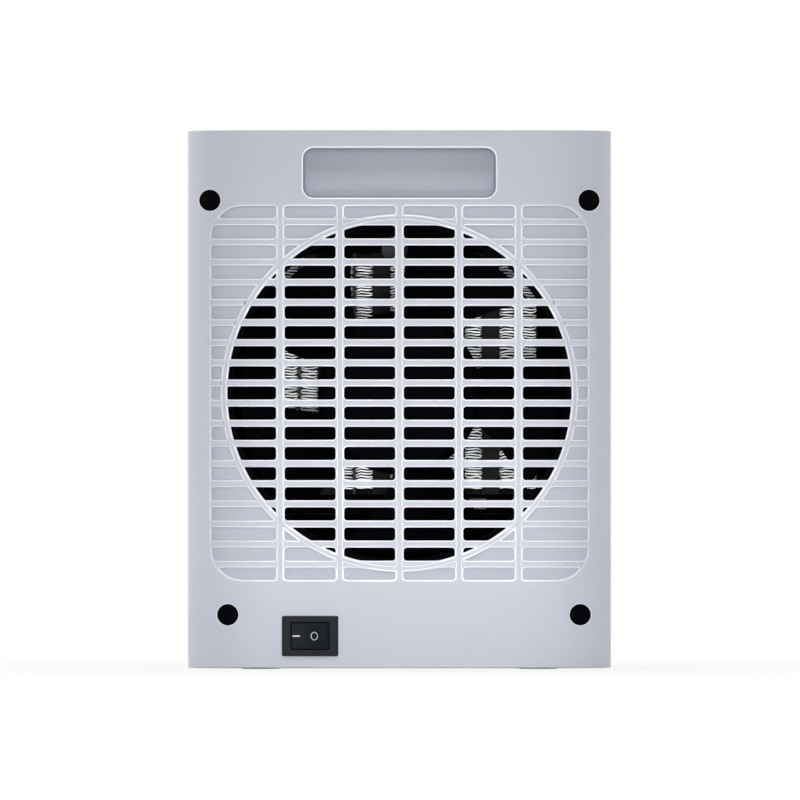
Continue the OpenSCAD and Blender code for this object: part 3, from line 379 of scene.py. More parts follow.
def outlineOf(shape, count):
    # the rounded outline, its points gathered where it turns; None where no opening is left
    p = sharpOutline(shape)
    if len(p) < tracing["fewestStations"]:
        return None
    run = np.linalg.norm(np.roll(p, -1, 0) - p, axis=1)
    evenly = walkRound(p, run, max(tracing["fewestPoints"], int(run.sum() / tracing["spacing"])))
    p, slope = pushTo(evenly, shape, 0.0)
    onEdge = np.abs(edgeDistance(p, shape)) < tracing["offEdge"]
    area = 0.5 * np.sum(p[:, 0] * np.roll(p[:, 1], -1) - np.roll(p[:, 0], -1) * p[:, 1])
    if onEdge.mean() < tracing["goodShare"] or abs(area) < tracing["leastArea"]:
        return None
    p, slope = p[onEdge], slope[onEdge]
    run = np.linalg.norm(np.roll(p, -1, 0) - p, axis=1)
    turn = np.arccos(np.clip((np.roll(slope, -1, 0) * slope).sum(1), -1, 1))
    share = tracing["turnShare"]
    weights = share * turn / max(turn.sum(), 1e-9) + (1 - share) * run / run.sum()
    return pushTo(walkRound(p, weights, count), shape, 0.0)[0]


def traced(shapes, count):
    # shapes of the right half with their outlines, then the same on the left half
    found = [(shape, outlineOf(shape, count)) for shape in shapes]
    found = [(shape, outline) for shape, outline in found if outline is not None]
    return found + [({**shape, "x": (-shape["x"][1], -shape["x"][0])}, outline * [-1, 1])
                    for shape, outline in found]


def grilleShapes():
    # open slots, blind pockets and the bays between ribs, ring and field edge
    half, step, inner, outer = (grille[key] for key in ("half", "ledge", "ringInner", "ringOuter"))
    halfRib, pitch = grille["ribWidth"] / 2, grille["ribPitch"]
    columns = [(halfRib + i * pitch, (i + 1) * pitch - halfRib) for i in (0, 1)] + [(halfRib + 2 * pitch, half[0])]
    wideField = (tuple(h + step for h in half), grille["fieldCorner"] + step)
    reach = half[1] + step
    slots, pockets, bays = [], [], []
    for x0, x1 in columns:
        for row in range(grille["rows"]):
            z0 = row * grille["rowPitch"] - half[1]
            cell = {"x": (x0, x1), "z": (z0, z0 + grille["slotHeight"]), "radius": grille["slotCorner"]}
            slots.append({**cell, "inside": inner})
            pockets.append({**cell, "outside": outer, "field": (half, grille["fieldCorner"])})
        bay = {"x": (x0 - step, x1 + step), "z": (-reach, reach), "radius": grille["slotCorner"] + step}
        bays.append({**bay, "inside": inner + step})
        beyond = {**bay, "outside": outer - step, "field": wideField}
        bays += [{**beyond, "z": (0, reach)}, {**beyond, "z": (-reach, 0)}] if x1 < inner else [beyond]
    return (traced(slots, grille["cellPoints"]), traced(pockets, grille["cellPoints"]),
            traced(bays, grille["bayPoints"]))


def skinPlace(p, depth):
    # a point this deep under the rear skin, which is flat and then follows the round corner
    radius = cover["corner"] - depth
    aside = np.clip((np.abs(p[:, 0]) - flatHalf) / radius, 0, cover["steepest"])
    back = rearY + cover["corner"] - radius * np.sqrt(1 - aside ** 2)
    return np.stack([p[:, 0], back, p[:, 1] + axisZ], 1), softNormal(unrolled(p, depth)[:, 0])


def unrolled(p, depth):
    # the distance along the skin from the middle in place of x
    over = np.clip((np.abs(p[:, 0]) - flatHalf) / (cover["corner"] - depth), 0, 1)
    u = np.where(over > 0, np.sign(p[:, 0]) * (flatHalf + cover["corner"] * np.arcsin(over)), p[:, 0])
    return np.stack([u, p[:, 1]], 1)


def softNormal(u):
    # the turn of the skin at a distance along it, with a soft start where the flat face meets the corner:
    # softness x log(1 + exp(distance past the edge / softness)) / corner radius
    soft = cover["softness"]
    past = (np.abs(u) - flatHalf) / soft
    turn = np.minimum(soft / cover["corner"] * np.logaddexp(0, past), math.pi / 2) * np.sign(u)
    return np.stack([np.sin(turn), -np.cos(turn), np.zeros(len(u))], 1)


def wrapPlace(p, depth):
    # a point (distance along the skin, height) on the plan outline set in by a depth, down to the seam
    u = p[:, 0]
    turn = np.clip((np.abs(u) - flatHalf) / cover["corner"], 0, math.pi / 2)
    side = np.clip(np.abs(u) - flatHalf - cover["corner"] * math.pi / 2, 0, None)
    radius = cover["corner"] - depth
    x = np.sign(u) * (np.minimum(np.abs(u), flatHalf) + radius * np.sin(turn))
    y = rearY + cover["corner"] - radius * np.cos(turn) + side
    return np.stack([x, y, p[:, 1] + axisZ], 1), softNormal(u)


def gridFaces(rows, columns, closed=True):
    # triangles between neighbouring rows of points, round each row or from its start to its end
    r, c = np.meshgrid(np.arange(rows - 1), np.arange(columns if closed else columns - 1), indexing="ij")
    a, b = (r * columns + c).ravel(), (r * columns + (c + 1) % columns).ravel()
    return np.concatenate([np.stack([a, b, b + columns], 1), np.stack([a, b + columns, a + columns], 1)])


def strip(rows, closed=True):
    # a profile carried along an outline: each row is one point of the profile, as places and normals
    return (np.concatenate([place for place, _ in rows]), np.concatenate([normal for _, normal in rows]),
            gridFaces(len(rows), len(rows[0][0]), closed))


def rimmed(rows, slot=0):
    # the rounded rim in a lighter, glossier copy of the shell plastic, a painted highlight along the edge; the wall
    # below it in the skin's finish or another
    return [(*strip(rows[:cover["rimRows"]]), 1), (*strip(rows[cover["rimRows"] - 1:]), slot)]


def sheet(loops, loose, keep):
    # a flat sheet with openings: triangles between loops and loose points, kept where their middles pass a test
    flat = np.concatenate(loops + [loose])
    edges = []
    start = 0
    for loop in loops:
        ring = np.arange(start, start + len(loop))
        edges += np.stack([ring, np.roll(ring, -1)], 1).tolist()
        start += len(loop)
    insideOnly, joinMm = 1, 1e-6
    verts, _, faces = delaunay_2d_cdt(flat.tolist(), edges, [], insideOnly, joinMm)[:3]
    verts = np.array([tuple(v) for v in verts])
    faces = np.array([face for face in faces if len(face) == 3])
    return verts, faces[keep(verts[faces].mean(1))]


def inAny(p, group, level):
    # true where a point lies inside one of a group's shapes grown by the level; shapes far from it are skipped
    near = tracing["nearMm"]
    inside = np.zeros(len(p), bool)
    for shape, _ in group:
        close = np.nonzero((p[:, 0] > shape["x"][0] - near) & (p[:, 0] < shape["x"][1] + near)
                           & (p[:, 1] > shape["z"][0] - near) & (p[:, 1] < shape["z"][1] + near))[0]
        inside[close] |= edgeDistance(p[close], shape) < level
    return inside


def inGroups(p, openings):
    # true where a point lies inside an opening of any group, grown by that group's level
    inside = np.zeros(len(p), bool)
    for level, group in openings:
        inside |= inAny(p, group, level)
    return inside


def nearAny(p, loops, clear):
    # true where a loose point lies too close to a point of an outline, taken in blocks to save memory
    spots, block = np.concatenate(loops), tracing["block"]
    near = np.zeros(len(p), bool)
    for i in range(0, len(p), block):
        near[i:i + block] = (((p[i:i + block, None] - spots) ** 2).sum(-1) < clear ** 2).any(1)
    return near


def rimRows(shape, outline, rim, top, bottom, draft):
    # a quarter ellipse from the face into the wall, then the wall down to its foot, leaning in by the draft
    rows = []
    for s in np.linspace(0, math.pi / 2, cover["rimRows"]):
        p, slope = pushTo(outline, shape, rim * (1 - math.sin(s)))
        spot, normal = skinPlace(p, top + rim * cover["rimDrop"] * (1 - math.cos(s)))
        rows.append((spot, math.cos(s) * normal + cover["rimDrop"] * math.sin(s) * lifted(-slope, 0, True)))
    p, slope = pushTo(outline, shape, -draft)
    rows.append((skinPlace(p, bottom)[0], lifted(-slope, 0, True)))
    return rows


def pushed(group, level):
    # the outlines of a group, grown by a level
    return [pushTo(outline, shape, level)[0] for shape, outline in group]


def grid(us, zs):
    # all pairs of a station across and a height
    return np.stack(np.meshgrid(us, zs), -1).reshape(-1, 2)


def barSheets(slots, pockets, bays):
    # the sunk bars, the pocket floors and all the rims and walls of the grille
    rim, draft = grille["slotRim"], grille["draft"]
    bend = np.arange(flatHalf + grille["bendFrom"], grille["half"][0], grille["bendStep"])
    loose = grid(np.concatenate([-bend, bend]), np.arange(*grille["looseRows"]))

    def onBar(p):
        # in a bay and outside every cell
        return inAny(p, bays, 0) & ~inAny(p, slots + pockets, rim)

    def onFloor(p):
        # in a pocket
        return inAny(p, pockets, -draft)

    patches = []
    edges = [outline for _, outline in bays] + pushed(slots + pockets, rim)
    # the pocket floors take slot 3, a darker copy of the shell plastic: painted shade
    for loops, test, depth, slot in ((edges, onBar, grille["barSunk"], 0),
                                     (pushed(pockets, -draft), onFloor, grille["pocketDepth"], 3)):
        inner = loose[test(loose)]
        flat, faces = sheet(loops, inner[~nearAny(inner, loops, grille["clear"])], test)
        patches.append((*skinPlace(flat, depth), faces, slot))
    for shape, outline in bays:
        patches += rimmed(rimRows(shape, outline, grille["ribRim"], 0, grille["barSunk"], 0))
    for group, foot in ((slots, wall), (pockets, grille["pocketDepth"])):
        for shape, outline in group:
            patches += rimmed(rimRows(shape, outline, rim, grille["barSunk"], foot, draft))
    return patches


def lifted(flat, third, upright, origin=0.0):
    # flat points put in space: in the plane of the rear face, or in plan
    third = np.full(len(flat), third)
    if upright:
        return np.stack([flat[:, 0], third, flat[:, 1] + origin], 1)
    return np.stack([flat[:, 0], flat[:, 1], third], 1)


def flatPatch(loops, keep, station, facing, upright, slot=0):
    # a flat sheet between loops, in the plane of the rear face or in plan, facing one way
    flat, faces = sheet(loops, np.zeros((0, 2)), keep)
    places = lifted(flat, station, upright, axisZ if upright else 0.0)
    return places, np.tile(facing, (len(flat), 1)), faces, slot


def ringAt(opening, level, station, across, along, upright=True):
    # an outline grown by a level at one station, with normals made of a share across and a share along
    shape, outline = opening
    p, slope = pushTo(outline, shape, level)
    return (lifted(p, station, upright, axisZ if upright else 0.0), lifted(across * slope, along, upright))


def recessPatches(grip, backing):
    # lip, leaning walls, fillet (wider under the top wall) and floor of the finger recess, and the box behind it;
    # walls, fillet and floor take a darker copy of the shell plastic, painted shade in the recess
    depth, lean = recess["depth"], recess["lean"]
    fillet = recess["fillet"] + recess["topFillet"] * np.clip(pushTo(grip[1], grip[0], 0)[1][:, 1], 0, 1) ** 2
    rows = rimRows(*grip, recess["lip"], 0, depth - fillet, lean)
    for s in np.linspace(0, math.pi / 2, recess["filletRows"])[1:]:
        rows.append(ringAt(grip, -lean - fillet * (1 - math.cos(s)), rearY + depth - fillet * (1 - math.sin(s)),
                           -math.cos(s), -math.sin(s)))
    behind = rearY + depth + wall
    return rimmed(rows, 2) + [
        strip([ringAt(backing, 0, rearY + wall, 1, 0), ringAt(backing, 0, behind, 1, 0)]),
        flatPatch(pushed([grip], -lean - fillet), lambda p: p[:, 0] < math.inf, rearY + depth, [0, -1, 0], True, 2),
        flatPatch([backing[1]], lambda p: p[:, 0] < math.inf, behind, [0, 1, 0], True)]


def wellPatches(mouth):
    # lip, wall, seat, screw hole and the boss back to the inner skin
    seat = seamY - well["seat"]
    hole, boss = well["screw"] - well["corner"], well["boss"] - well["corner"]
    lip = rimRows(*mouth, well["lip"], 0, well["lipDepth"], 0)[:-1]
    p, slope = pushTo(mouth[1], mouth[0], boss)
    return rimmed(lip + [ringAt(mouth, 0, seat, -1, 0)]) + [
            strip([ringAt(mouth, 0, seat, 0, -1), ringAt(mouth, hole, seat, 0, -1)]),
            strip([ringAt(mouth, hole, seat, -1, 0), ringAt(mouth, hole, seamY, -1, 0)]),
            strip([ringAt(mouth, hole, seamY, 0, 1), ringAt(mouth, boss, seamY, 0, 1)]),
            strip([ringAt(mouth, boss, seamY, 1, 0), (skinPlace(p, wall)[0], lifted(slope, 0, True))])]


def footPatches(mouth):
    # seat for a rubber foot in the underside and the bore for its stem
    sunk, stem = lowZ + footHole["sunk"], footHole["stem"] - footHole["corner"]
    return [strip([ringAt(mouth, 0, lowZ, -1, 0, False), ringAt(mouth, 0, sunk, -1, 0, False)]),
            strip([ringAt(mouth, 0, sunk, 0, -1, False), ringAt(mouth, stem, sunk, 0, -1, False)]),
            strip([ringAt(mouth, stem, sunk, -1, 0, False), ringAt(mouth, stem, lowZ + wall, -1, 0, False)])]


def skinEdge():
    # stations along the skin from seam to seam, close together where it bends
    corner = flatHalf + cover["corner"] * math.pi / 2
    end = corner + seamY - rearY - cover["corner"]
    half = np.concatenate([np.linspace(cover["firstColumn"], flatHalf, cover["flatColumns"]),
                           np.linspace(flatHalf, corner, cover["cornerColumns"])[1:],
                           [(corner + end) / 2, end]])
    return np.concatenate([-half[::-1], half])


def skinSheet(depth, margin, openings, facing):
    # the wrapped skin at one depth, from underside to top less a margin, with openings grown by their levels
    us = skinEdge()
    z0, z1 = lowZ + margin - axisZ, topZ - margin - axisZ
    loops = [np.concatenate([np.stack([us, us * 0 + z0], 1), np.stack([us, us * 0 + z1], 1)[::-1]])]
    for level, group in openings:
        loops += [unrolled(loop, depth) for loop in pushed(group, level)]

    def free(p):
        # outside every opening
        return ~inGroups(wrapPlace(p, depth)[0][:, [0, 2]] - [0, axisZ], openings)

    bend = us[np.abs(us) > flatHalf - cover["slack"]]
    bend = bend[np.abs(bend) < us[-3] + cover["slack"]]
    loose = grid(bend, np.arange(z0 + cover["rowsFrom"], z1 - cover["rowsTo"], cover["rowStep"]))
    loose = loose[free(loose) & ~nearAny(loose, loops, cover["clear"])]
    flat, faces = sheet(loops, loose, free)
    places, normals = wrapPlace(flat, depth)
    return places, normals * facing, faces


def capSheet(station, inset, facing, openings):
    # the top or bottom of the shell in plan, inside the skin at an inset
    us = skinEdge()
    loops = [wrapPlace(np.stack([us, us * 0], 1), inset)[0][:, :2]]
    loops += [loop for level, group in openings for loop in pushed(group, level)]
    return flatPatch(loops, lambda p: ~inGroups(p, openings), station, [0, 0, facing], False)


def roundedEdge(up):
    # the quarter circle between skin and top (up 1) or underside (up -1)
    us, edge = skinEdge(), cover["edge"]
    z = (topZ if up > 0 else lowZ) - up * edge - axisZ
    rows = []
    for s in np.linspace(0, math.pi / 2, cover["edgeRows"]):
        level = np.stack([us, us * 0 + z + up * edge * math.sin(s)], 1)
        places, normals = wrapPlace(level, edge * (1 - math.cos(s)))
        rows.append((places, math.cos(s) * normals + [0, 0, up * math.sin(s)]))
    return strip(rows, closed=False)


def seamRim():
    # the rim at the seam, between the rounded outer outline and the inner rectangle
    edge = cover["edge"]
    z0, z1 = lowZ - axisZ, topZ - axisZ
    s = np.linspace(0, math.pi / 2, cover["edgeRows"])
    arc = np.stack([halfWidth - edge * (1 - np.cos(s)), edge * (1 - np.sin(s))], 1)
    upper = arc * [1, -1] + [0, z1]
    lower = arc[::-1] + [0, z0]
    outer = np.concatenate([lower, upper, upper[::-1] * [-1, 1], lower[::-1] * [-1, 1]])
    w = halfWidth - wall
    inner = np.array([(w, z0 + wall), (w, z1 - wall), (-w, z1 - wall), (-w, z0 + wall)])
    return flatPatch([outer, inner], lambda p: (np.abs(p[:, 0]) > w) | (p[:, 1] < z0 + wall) | (p[:, 1] > z1 - wall),
                     seamY, [0, 1, 0], True)


def rearCoverPatches():
    # every surface of the shell: grille, recess, wells, foot seats, switch opening, skins, edges, seam and caps
    slots, pockets, bays = grilleShapes()
    fromBottom, edge = lowZ - axisZ, cover["edge"]

    def opened(x, z, look):
        # a rounded rectangle, or a circle where its corners meet, with its outline
        w, h = look["half"]
        shape = {"x": (x - w, x + w), "z": (z - h, z + h), "radius": look["corner"]}
        return shape, outlineOf(shape, look["points"])

    gripHeight = topZ - recess["drop"] - axisZ
    grip = opened(0, gripHeight, recess)
    backing = opened(0, gripHeight, {"half": [h + wall / 2 for h in recess["half"]], "corner": recess["backCorner"],
                                     "points": recess["backPoints"]})
    mouths = [opened(x, z + fromBottom, well) for x, z in well["at"]]
    opening = opened(switchHole["x"], switchHole["z"] + fromBottom, switchHole)
    feet = [opened(side * footHole["x"], rearY + footHole["y"], footHole) for side in (-1, 1)]
    patches = barSheets(slots, pockets, bays) + recessPatches(grip, backing)
    patches += [patch for mouth in mouths for patch in wellPatches(mouth)]
    patches += [patch for mouth in feet for patch in footPatches(mouth)]
    return patches + [
        strip([ringAt(opening, 0, rearY, -1, 0), ringAt(opening, 0, rearY + wall, -1, 0)]),
        skinSheet(0, edge, [(grille["ribRim"], bays), (recess["lip"], [grip]), (well["lip"], mouths),
                            (0, [opening])], 1),
        skinSheet(wall, wall, [(-grille["draft"], slots), (0, [backing, opening]),
                               (well["boss"] - well["corner"], mouths)], -1),
        roundedEdge(1), roundedEdge(-1), seamRim(),
        capSheet(topZ, edge, 1, []), capSheet(lowZ, edge, -1, [(0, feet)]),
        capSheet(topZ - wall, wall, -1, []),
        capSheet(lowZ + wall, wall, 1, [(footHole["stem"] - footHole["corner"], feet)])]


def smoothMesh(name, patches):
    # one mesh from patches in mm: faces turned to agree with their normals, corners within a micron joined
    micron = 0.001
    starts = np.cumsum([0] + [len(patch[0]) for patch in patches])
    places = np.concatenate([patch[0] for patch in patches])
    normals = np.concatenate([patch[1] for patch in patches]).astype(float)
    faces = np.concatenate([patch[2] + start for patch, start in zip(patches, starts)])
    slots = np.concatenate([np.full(len(patch[2]), (*patch, 0)[3]) for patch in patches])
    corners = places[faces]
    facing = np.cross(corners[:, 1] - corners[:, 0], corners[:, 2] - corners[:, 0])
    wrong = (facing * normals[faces].sum(1)).sum(1) < 0
    faces[wrong] = faces[wrong][:, ::-1]
    first, joined = np.unique(np.round(places / micron).astype(np.int64), axis=0, return_index=True,
                              return_inverse=True)[1:]
    joined = joined.ravel()[faces]
    solid = (joined[:, 0] != joined[:, 1]) & (joined[:, 1] != joined[:, 2]) & (joined[:, 0] != joined[:, 2])
    mesh = bpy.data.meshes.new(name)
    mesh.from_pydata((places[first] * mm).tolist(), [], joined[solid].tolist())
    mesh.polygons.foreach_set("use_smooth", np.ones(int(solid.sum()), bool))
    mesh.polygons.foreach_set("material_index", slots[solid].astype(np.int32))
    mesh.update()
    mesh.normals_split_custom_set(normals[faces[solid]].reshape(-1, 3).tolist())
    return mesh


# slots: shell plastic, a lighter rim copy (painted highlight), a darker recess copy and a darker pocket copy (painted
# shade)
addPiece("rearCoverShell", smoothMesh("rearCoverShell", rearCoverPatches()),
         "paleGreyMatteAbs burnishedPaleAbsEdge sparkErodedPaleAbs texturedPaleAbs", "casing", "rear_cover")
print("rear cover made")

# heater foil: strips in pairs between the plates

foilBox = boxOf("heater_fins")
foil = {"pairs": 5, "pairWidth": 14.15, "stripWidth": 6.6, "pitch": 1.05, "thick": 0.44, "bendShare": 0.35,
        "legPoints": 9, "flatness": 0.9, "squareness": 2.6, "endRoom": 1.2, "sideRoom": 0.1, "depthRoom": 0.02,
        "wave": 0.2, "waveTurn": 1.1, "crumple": 0.12, "crumpleTurns": (2.7, 0.9, 1.3), "dentMm": 0.22, "seed": 7,
        "section": ((0, -0.8), (0, 0.8), (0.02, 1), (1, 1), (1, -1), (0.02, -1))}


def foilStrip(x, seed):
    # a serpentine foil: side to side as a clipped cosine, rising mostly in its bends, each leg waved by its own
    # sine, its rear edge dented by chance; the section gives each corner its share of the depth and its side
    chance = np.random.default_rng(foil["seed"] + seed)
    (low, high), pitch, perLeg = foilBox, foil["pitch"], foil["legPoints"]
    legs = int((high[2] - low[2] - foil["endRoom"]) / pitch)
    t = np.linspace(0, legs, legs * perLeg + 1)
    swing = np.tanh(foil["squareness"] * np.cos(math.pi * t)) / math.tanh(foil["squareness"])
    across = swing * (foil["stripWidth"] - foil["thick"] - foil["sideRoom"]) / 2
    rise = pitch * (t + foil["flatness"] * np.sin(2 * math.pi * t) / (2 * math.pi))
    depthShare, side = np.array(foil["section"]).T
    dent = foil["dentMm"] * chance.random(len(t))[:, None] * (depthShare < 0.5)
    y = low[1] + foil["depthRoom"] + dent + depthShare * (high[1] - low[1] - 2 * foil["depthRoom"])
    phase = chance.uniform(0, 2 * math.pi, legs + 1)[np.round(t).astype(int)]
    phase = np.interp(t, t[::perLeg], phase[::perLeg])
    byWidth, byDepth, byStrip = foil["crumpleTurns"]
    drift = foil["wave"] * np.sin(across * foil["waveTurn"] + phase)[:, None]
    drift = drift + foil["crumple"] * np.sin(across[:, None] * byWidth + y * byDepth + seed * byStrip)
    run = np.gradient(np.stack([across, rise], 1), axis=0)
    run /= np.linalg.norm(run, axis=1, keepdims=True)
    half = foil["thick"] / 2 * side * (foil["bendShare"] + (1 - foil["bendShare"]) * np.abs(run[:, :1]))
    places = np.stack([x + across[:, None] - run[:, 1:] * half, y, rise[:, None] + run[:, :1] * half + drift], -1)
    places[..., 2] += (low[2] + high[2]) / 2 - pitch * legs / 2
    places[..., 2] = np.clip(places[..., 2], low[2], high[2])
    return places


def tubeMesh(name, tubes):
    # closed tubes from grids of places in mm: rows along the path, columns round the section, ends fanned shut
    verts, faces, start = [], [], 0
    for places in tubes:
        rows, columns = places.shape[:2]
        fan = np.arange(1, columns - 1)
        last = (rows - 1) * columns
        faces += [gridFaces(rows, columns) + start, np.stack([fan * 0, fan + 1, fan], 1) + start,
                  np.stack([fan * 0, fan, fan + 1], 1) + last + start]
        verts.append(places.reshape(-1, 3))
        start += rows * columns
    mesh = bpy.data.meshes.new(name)
    mesh.from_pydata((np.concatenate(verts) * mm).tolist(), [], np.concatenate(faces).tolist())
    shape = bmesh.new()
    shape.from_mesh(mesh)
    bmesh.ops.recalc_face_normals(shape, faces=shape.faces)
    shape.to_mesh(mesh)
    shape.free()
    return mesh


pairPitch = (foilBox[1][0] - foilBox[0][0] - foil["pairWidth"]) / (foil["pairs"] - 1)
stripOffset = (foil["pairWidth"] - foil["stripWidth"]) / 2
strips = []
for pair in range(foil["pairs"]):
    middleX = foilBox[0][0] + foil["pairWidth"] / 2 + pair * pairPitch
    strips += [foilStrip(middleX + side * stripOffset, 2 * pair + (side > 0)) for side in (-1, 1)]
addPiece("heaterFoil", tubeMesh("heaterFoil", strips), "brightAluminiumFoil", "casing", "heater_fins")
print("heater foil made")

# switch: rounded mouldings and printed marks

switch = {"pivot": (-33.3, 3.4), "height": 12.5, "crest": (5.2, 8.7), "tilt": 13.2, "printMm": 0.05, "sunkMm": 0.025,
          "paddle": {"valleyMm": 2.5, "edgeMm": 0.5, "halfHeight": 4.85, "pinHalf": 5.65, "pinRadius": 1.2,
                     "facePoints": 41, "endPoints": 12, "endDegrees": 76, "root": [(3.2, -2.0), (-3.2, -2.0)],
                     "edgeRows": 6, "pinPoints": 24, "sharpFrom": 25},
          "ring": {"at": 3.1, "half": (1.3, 1.42), "stroke": 0.3, "points": 48},
          "bar": {"at": -3.75, "half": (1.35, 0.27), "points": 32}}
softened("switch_body", "switchBezel", "casing", edgeMm=0.25)


def fullTurn(points):
    # angles at even steps round a circle
    return np.linspace(0, 2 * math.pi, points, endpoint=False)


def paddleFace(x):
    # height of the paddle's face over the pivot: a softened V whose ends rise to the crests
    half, radius = switch["crest"]
    soft = switch["paddle"]["valleyMm"]
    bowl = (np.sqrt(x ** 2 + soft ** 2) - soft) / (math.sqrt(half ** 2 + soft ** 2) - soft)
    drop = half * math.tan(math.radians(switch["tilt"]))
    return math.sqrt(radius ** 2 - half ** 2) - drop * (1 - bowl)


def paddlePlace(x, face, up):
    # a point of the paddle's own profile, turned to its resting side and moved to the pivot
    tilt = math.radians(switch["tilt"])
    return np.stack([x * math.cos(tilt) - face * math.sin(tilt) + switch["pivot"][0],
                     -x * math.sin(tilt) - face * math.cos(tilt) + rearY + switch["pivot"][1],
                     up + switch["height"] + 0 * x], -1)


def printedRing(look):
    # a flat oval band: profile of four corners carried round an ellipse
    turn = fullTurn(look["points"])[:, None]
    grow = np.array([-1, -1, 1, 1]) * look["stroke"] / 2
    level = np.array([-switch["sunkMm"], switch["printMm"], switch["printMm"], -switch["sunkMm"]])
    x = look["at"] + (look["half"][0] + grow) * np.cos(turn)
    return paddlePlace(x, paddleFace(x) + level, (look["half"][1] + grow) * np.sin(turn))


def printedBar(look):
    # a flat bar with round ends: its outline in two levels
    turn = fullTurn(look["points"])
    x = look["at"] + np.sign(np.cos(turn)) * (look["half"][0] - look["half"][1]) + look["half"][1] * np.cos(turn)
    return np.stack([paddlePlace(x, paddleFace(x) + level, look["half"][1] * np.sin(turn))
                     for level in (-switch["sunkMm"], switch["printMm"])])


def paddleMesh(look):
    # the face between two crests and round ends about the pivot, carried up its height; at top and bottom the
    # outline shrinks in a quarter circle
    half, radius = switch["crest"]
    x = np.linspace(-half, half, look["facePoints"])
    turn = np.linspace(math.asin(half / radius), math.radians(look["endDegrees"]), look["endPoints"])[1:]
    side = np.stack([radius * np.sin(turn), radius * np.cos(turn)], 1)
    outline = np.concatenate([side[::-1] * [-1, 1], np.stack([x, paddleFace(x)], 1), side, look["root"]])
    bend = np.linspace(0, math.pi / 2, look["edgeRows"])
    shrink = 1 - look["edgeMm"] * (1 - np.sin(bend)) / radius
    level = look["halfHeight"] - look["edgeMm"] * (1 - np.cos(bend))
    shrink, level = np.concatenate([shrink, shrink[::-1]]), np.concatenate([-level, level[::-1]])
    grown = outline[None] * shrink[:, None, None]
    ring = fullTurn(look["pinPoints"])
    pin = [paddlePlace(look["pinRadius"] * np.cos(ring), look["pinRadius"] * np.sin(ring), end)
           for end in (-look["pinHalf"], look["pinHalf"])]
    return tubeMesh("switchPaddle", [paddlePlace(grown[..., 0], grown[..., 1], level[:, None]), np.stack(pin)])


paddleShape = paddleMesh(switch["paddle"])
paddleShape.polygons.foreach_set("use_smooth", np.ones(len(paddleShape.polygons), bool))
paddleShape.set_sharp_from_angle(angle=math.radians(switch["paddle"]["sharpFrom"]))
addPiece("switchPaddle", paddleShape, "blackRockerNylon", "paddle", "switch_rocker")
ring, bar = printedRing(switch["ring"]), printedBar(switch["bar"])
markMesh = tubeMesh("paddleMarks", [np.concatenate([ring, ring[:1]]), bar])
addPiece("paddleMarks", markMesh, "whitePadPrint", "paddle")
print("switch made")

# push buttons: rounded caps with printed marks, read from the front of the heater

keys = {"edgeMm": 0.4, "reach": 1.9, "stroke": 0.45, "gapDegrees": 70, "powerRise": 0.75, "printMm": 0.05,
        "sunkMm": 0.02, "barPoints": 24, "arcPoints": 40}


def planPrint(outline, top):
    # an outline in plan in two levels, from just under a surface to the height of the print
    return np.stack([lifted(outline, top + level, False) for level in (-keys["sunkMm"], keys["printMm"])])


def planBar(middle, half):
    # a bar with round ends: two half circles joined, the longer half saying which way it runs
    turn = fullTurn(keys["barPoints"])
    circle = np.stack([np.cos(turn), np.sin(turn)], 1)
    radius = min(half)
    return np.array(middle) + np.sign(np.round(circle, 6)) * (np.array(half) - radius) + radius * circle


def planArc(middle, radius, top):
    # an open ring, its gap towards the rear: a flat band of four corners carried round the arc
    gap = math.radians(keys["gapDegrees"]) / 2
    turn = np.linspace(gap, 2 * math.pi - gap, keys["arcPoints"])[:, None]
    across = radius + np.array([-1, -1, 1, 1]) * keys["stroke"] / 2
    level = top + np.array([-keys["sunkMm"], keys["printMm"], keys["printMm"], -keys["sunkMm"]])
    return np.stack([middle[0] + across * np.sin(turn), middle[1] - across * np.cos(turn), level + 0 * turn], -1)


for nodeName, body in (("button_power", "power_key"), ("button_up", "up_key"), ("button_down", "down_key")):
    box = boxOf(nodeName)
    middle, top = (box[0][:2] + box[1][:2]) / 2, box[1][2]
    reach, halfStroke = keys["reach"], keys["stroke"] / 2
    bars = [planPrint(planBar(middle, (reach, halfStroke)), top), planPrint(planBar(middle, (halfStroke, reach)), top)]
    if nodeName == "button_power":
        upper = middle - [0, reach * keys["powerRise"]]
        prints = [planArc(middle, reach, top), planPrint(planBar(upper, (halfStroke, reach / 2)), top)]
    else:
        prints = bars if nodeName == "button_up" else bars[:1]
    stem = body.split("_")[0]
    softened(nodeName, stem + "Cap", body, keys["edgeMm"])
    addPiece(stem + "Mark", tubeMesh(stem + "Mark", prints), "whitePadPrint", body)
softened("cord_gland", "cordGlandRing", "casing", edgeMm=0.35)
print("buttons and gland made")

# camera at the rear, far enough away for a flat view

view = {"pixelMm": 0.3727, "framePixels": 800, "sensorMm": 36, "distanceMm": 7000, "acrossMm": 0.2,
        "upMm": 100.45, "clipFromM": 0.05}
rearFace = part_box("rear_cover")[0].y
lens = bpy.data.cameras.new("viewCamera")
lens.sensor_width = view["sensorMm"]
lens.lens = lens.sensor_width * view["distanceMm"] / (view["pixelMm"] * view["framePixels"])
lens.clip_start = view["clipFromM"]
camera = linked("viewCamera", lens)
camera.location = (view["acrossMm"] * mm, rearFace - view["distanceMm"] * mm, view["upMm"] * mm)
camera.rotation_euler = (math.radians(90), 0, 0)
scene.camera = camera
scene.view_settings.view_transform = "Standard"


def whiteBeyond(tree):
    # 1 where a ray comes from the camera, a mirror or glass, otherwise 0
    path = addNode(tree, "LightPath").outputs
    seen = mathOf(tree, "MAXIMUM", path["Is Camera Ray"], path["Is Glossy Ray"])
    return mathOf(tree, "MAXIMUM", seen, path["Is Transmission Ray"])


def emptied(owner):
    # the node tree of a world or material, with nothing in it
    owner.use_nodes = True
    owner.node_tree.nodes.clear()
    return owner.node_tree


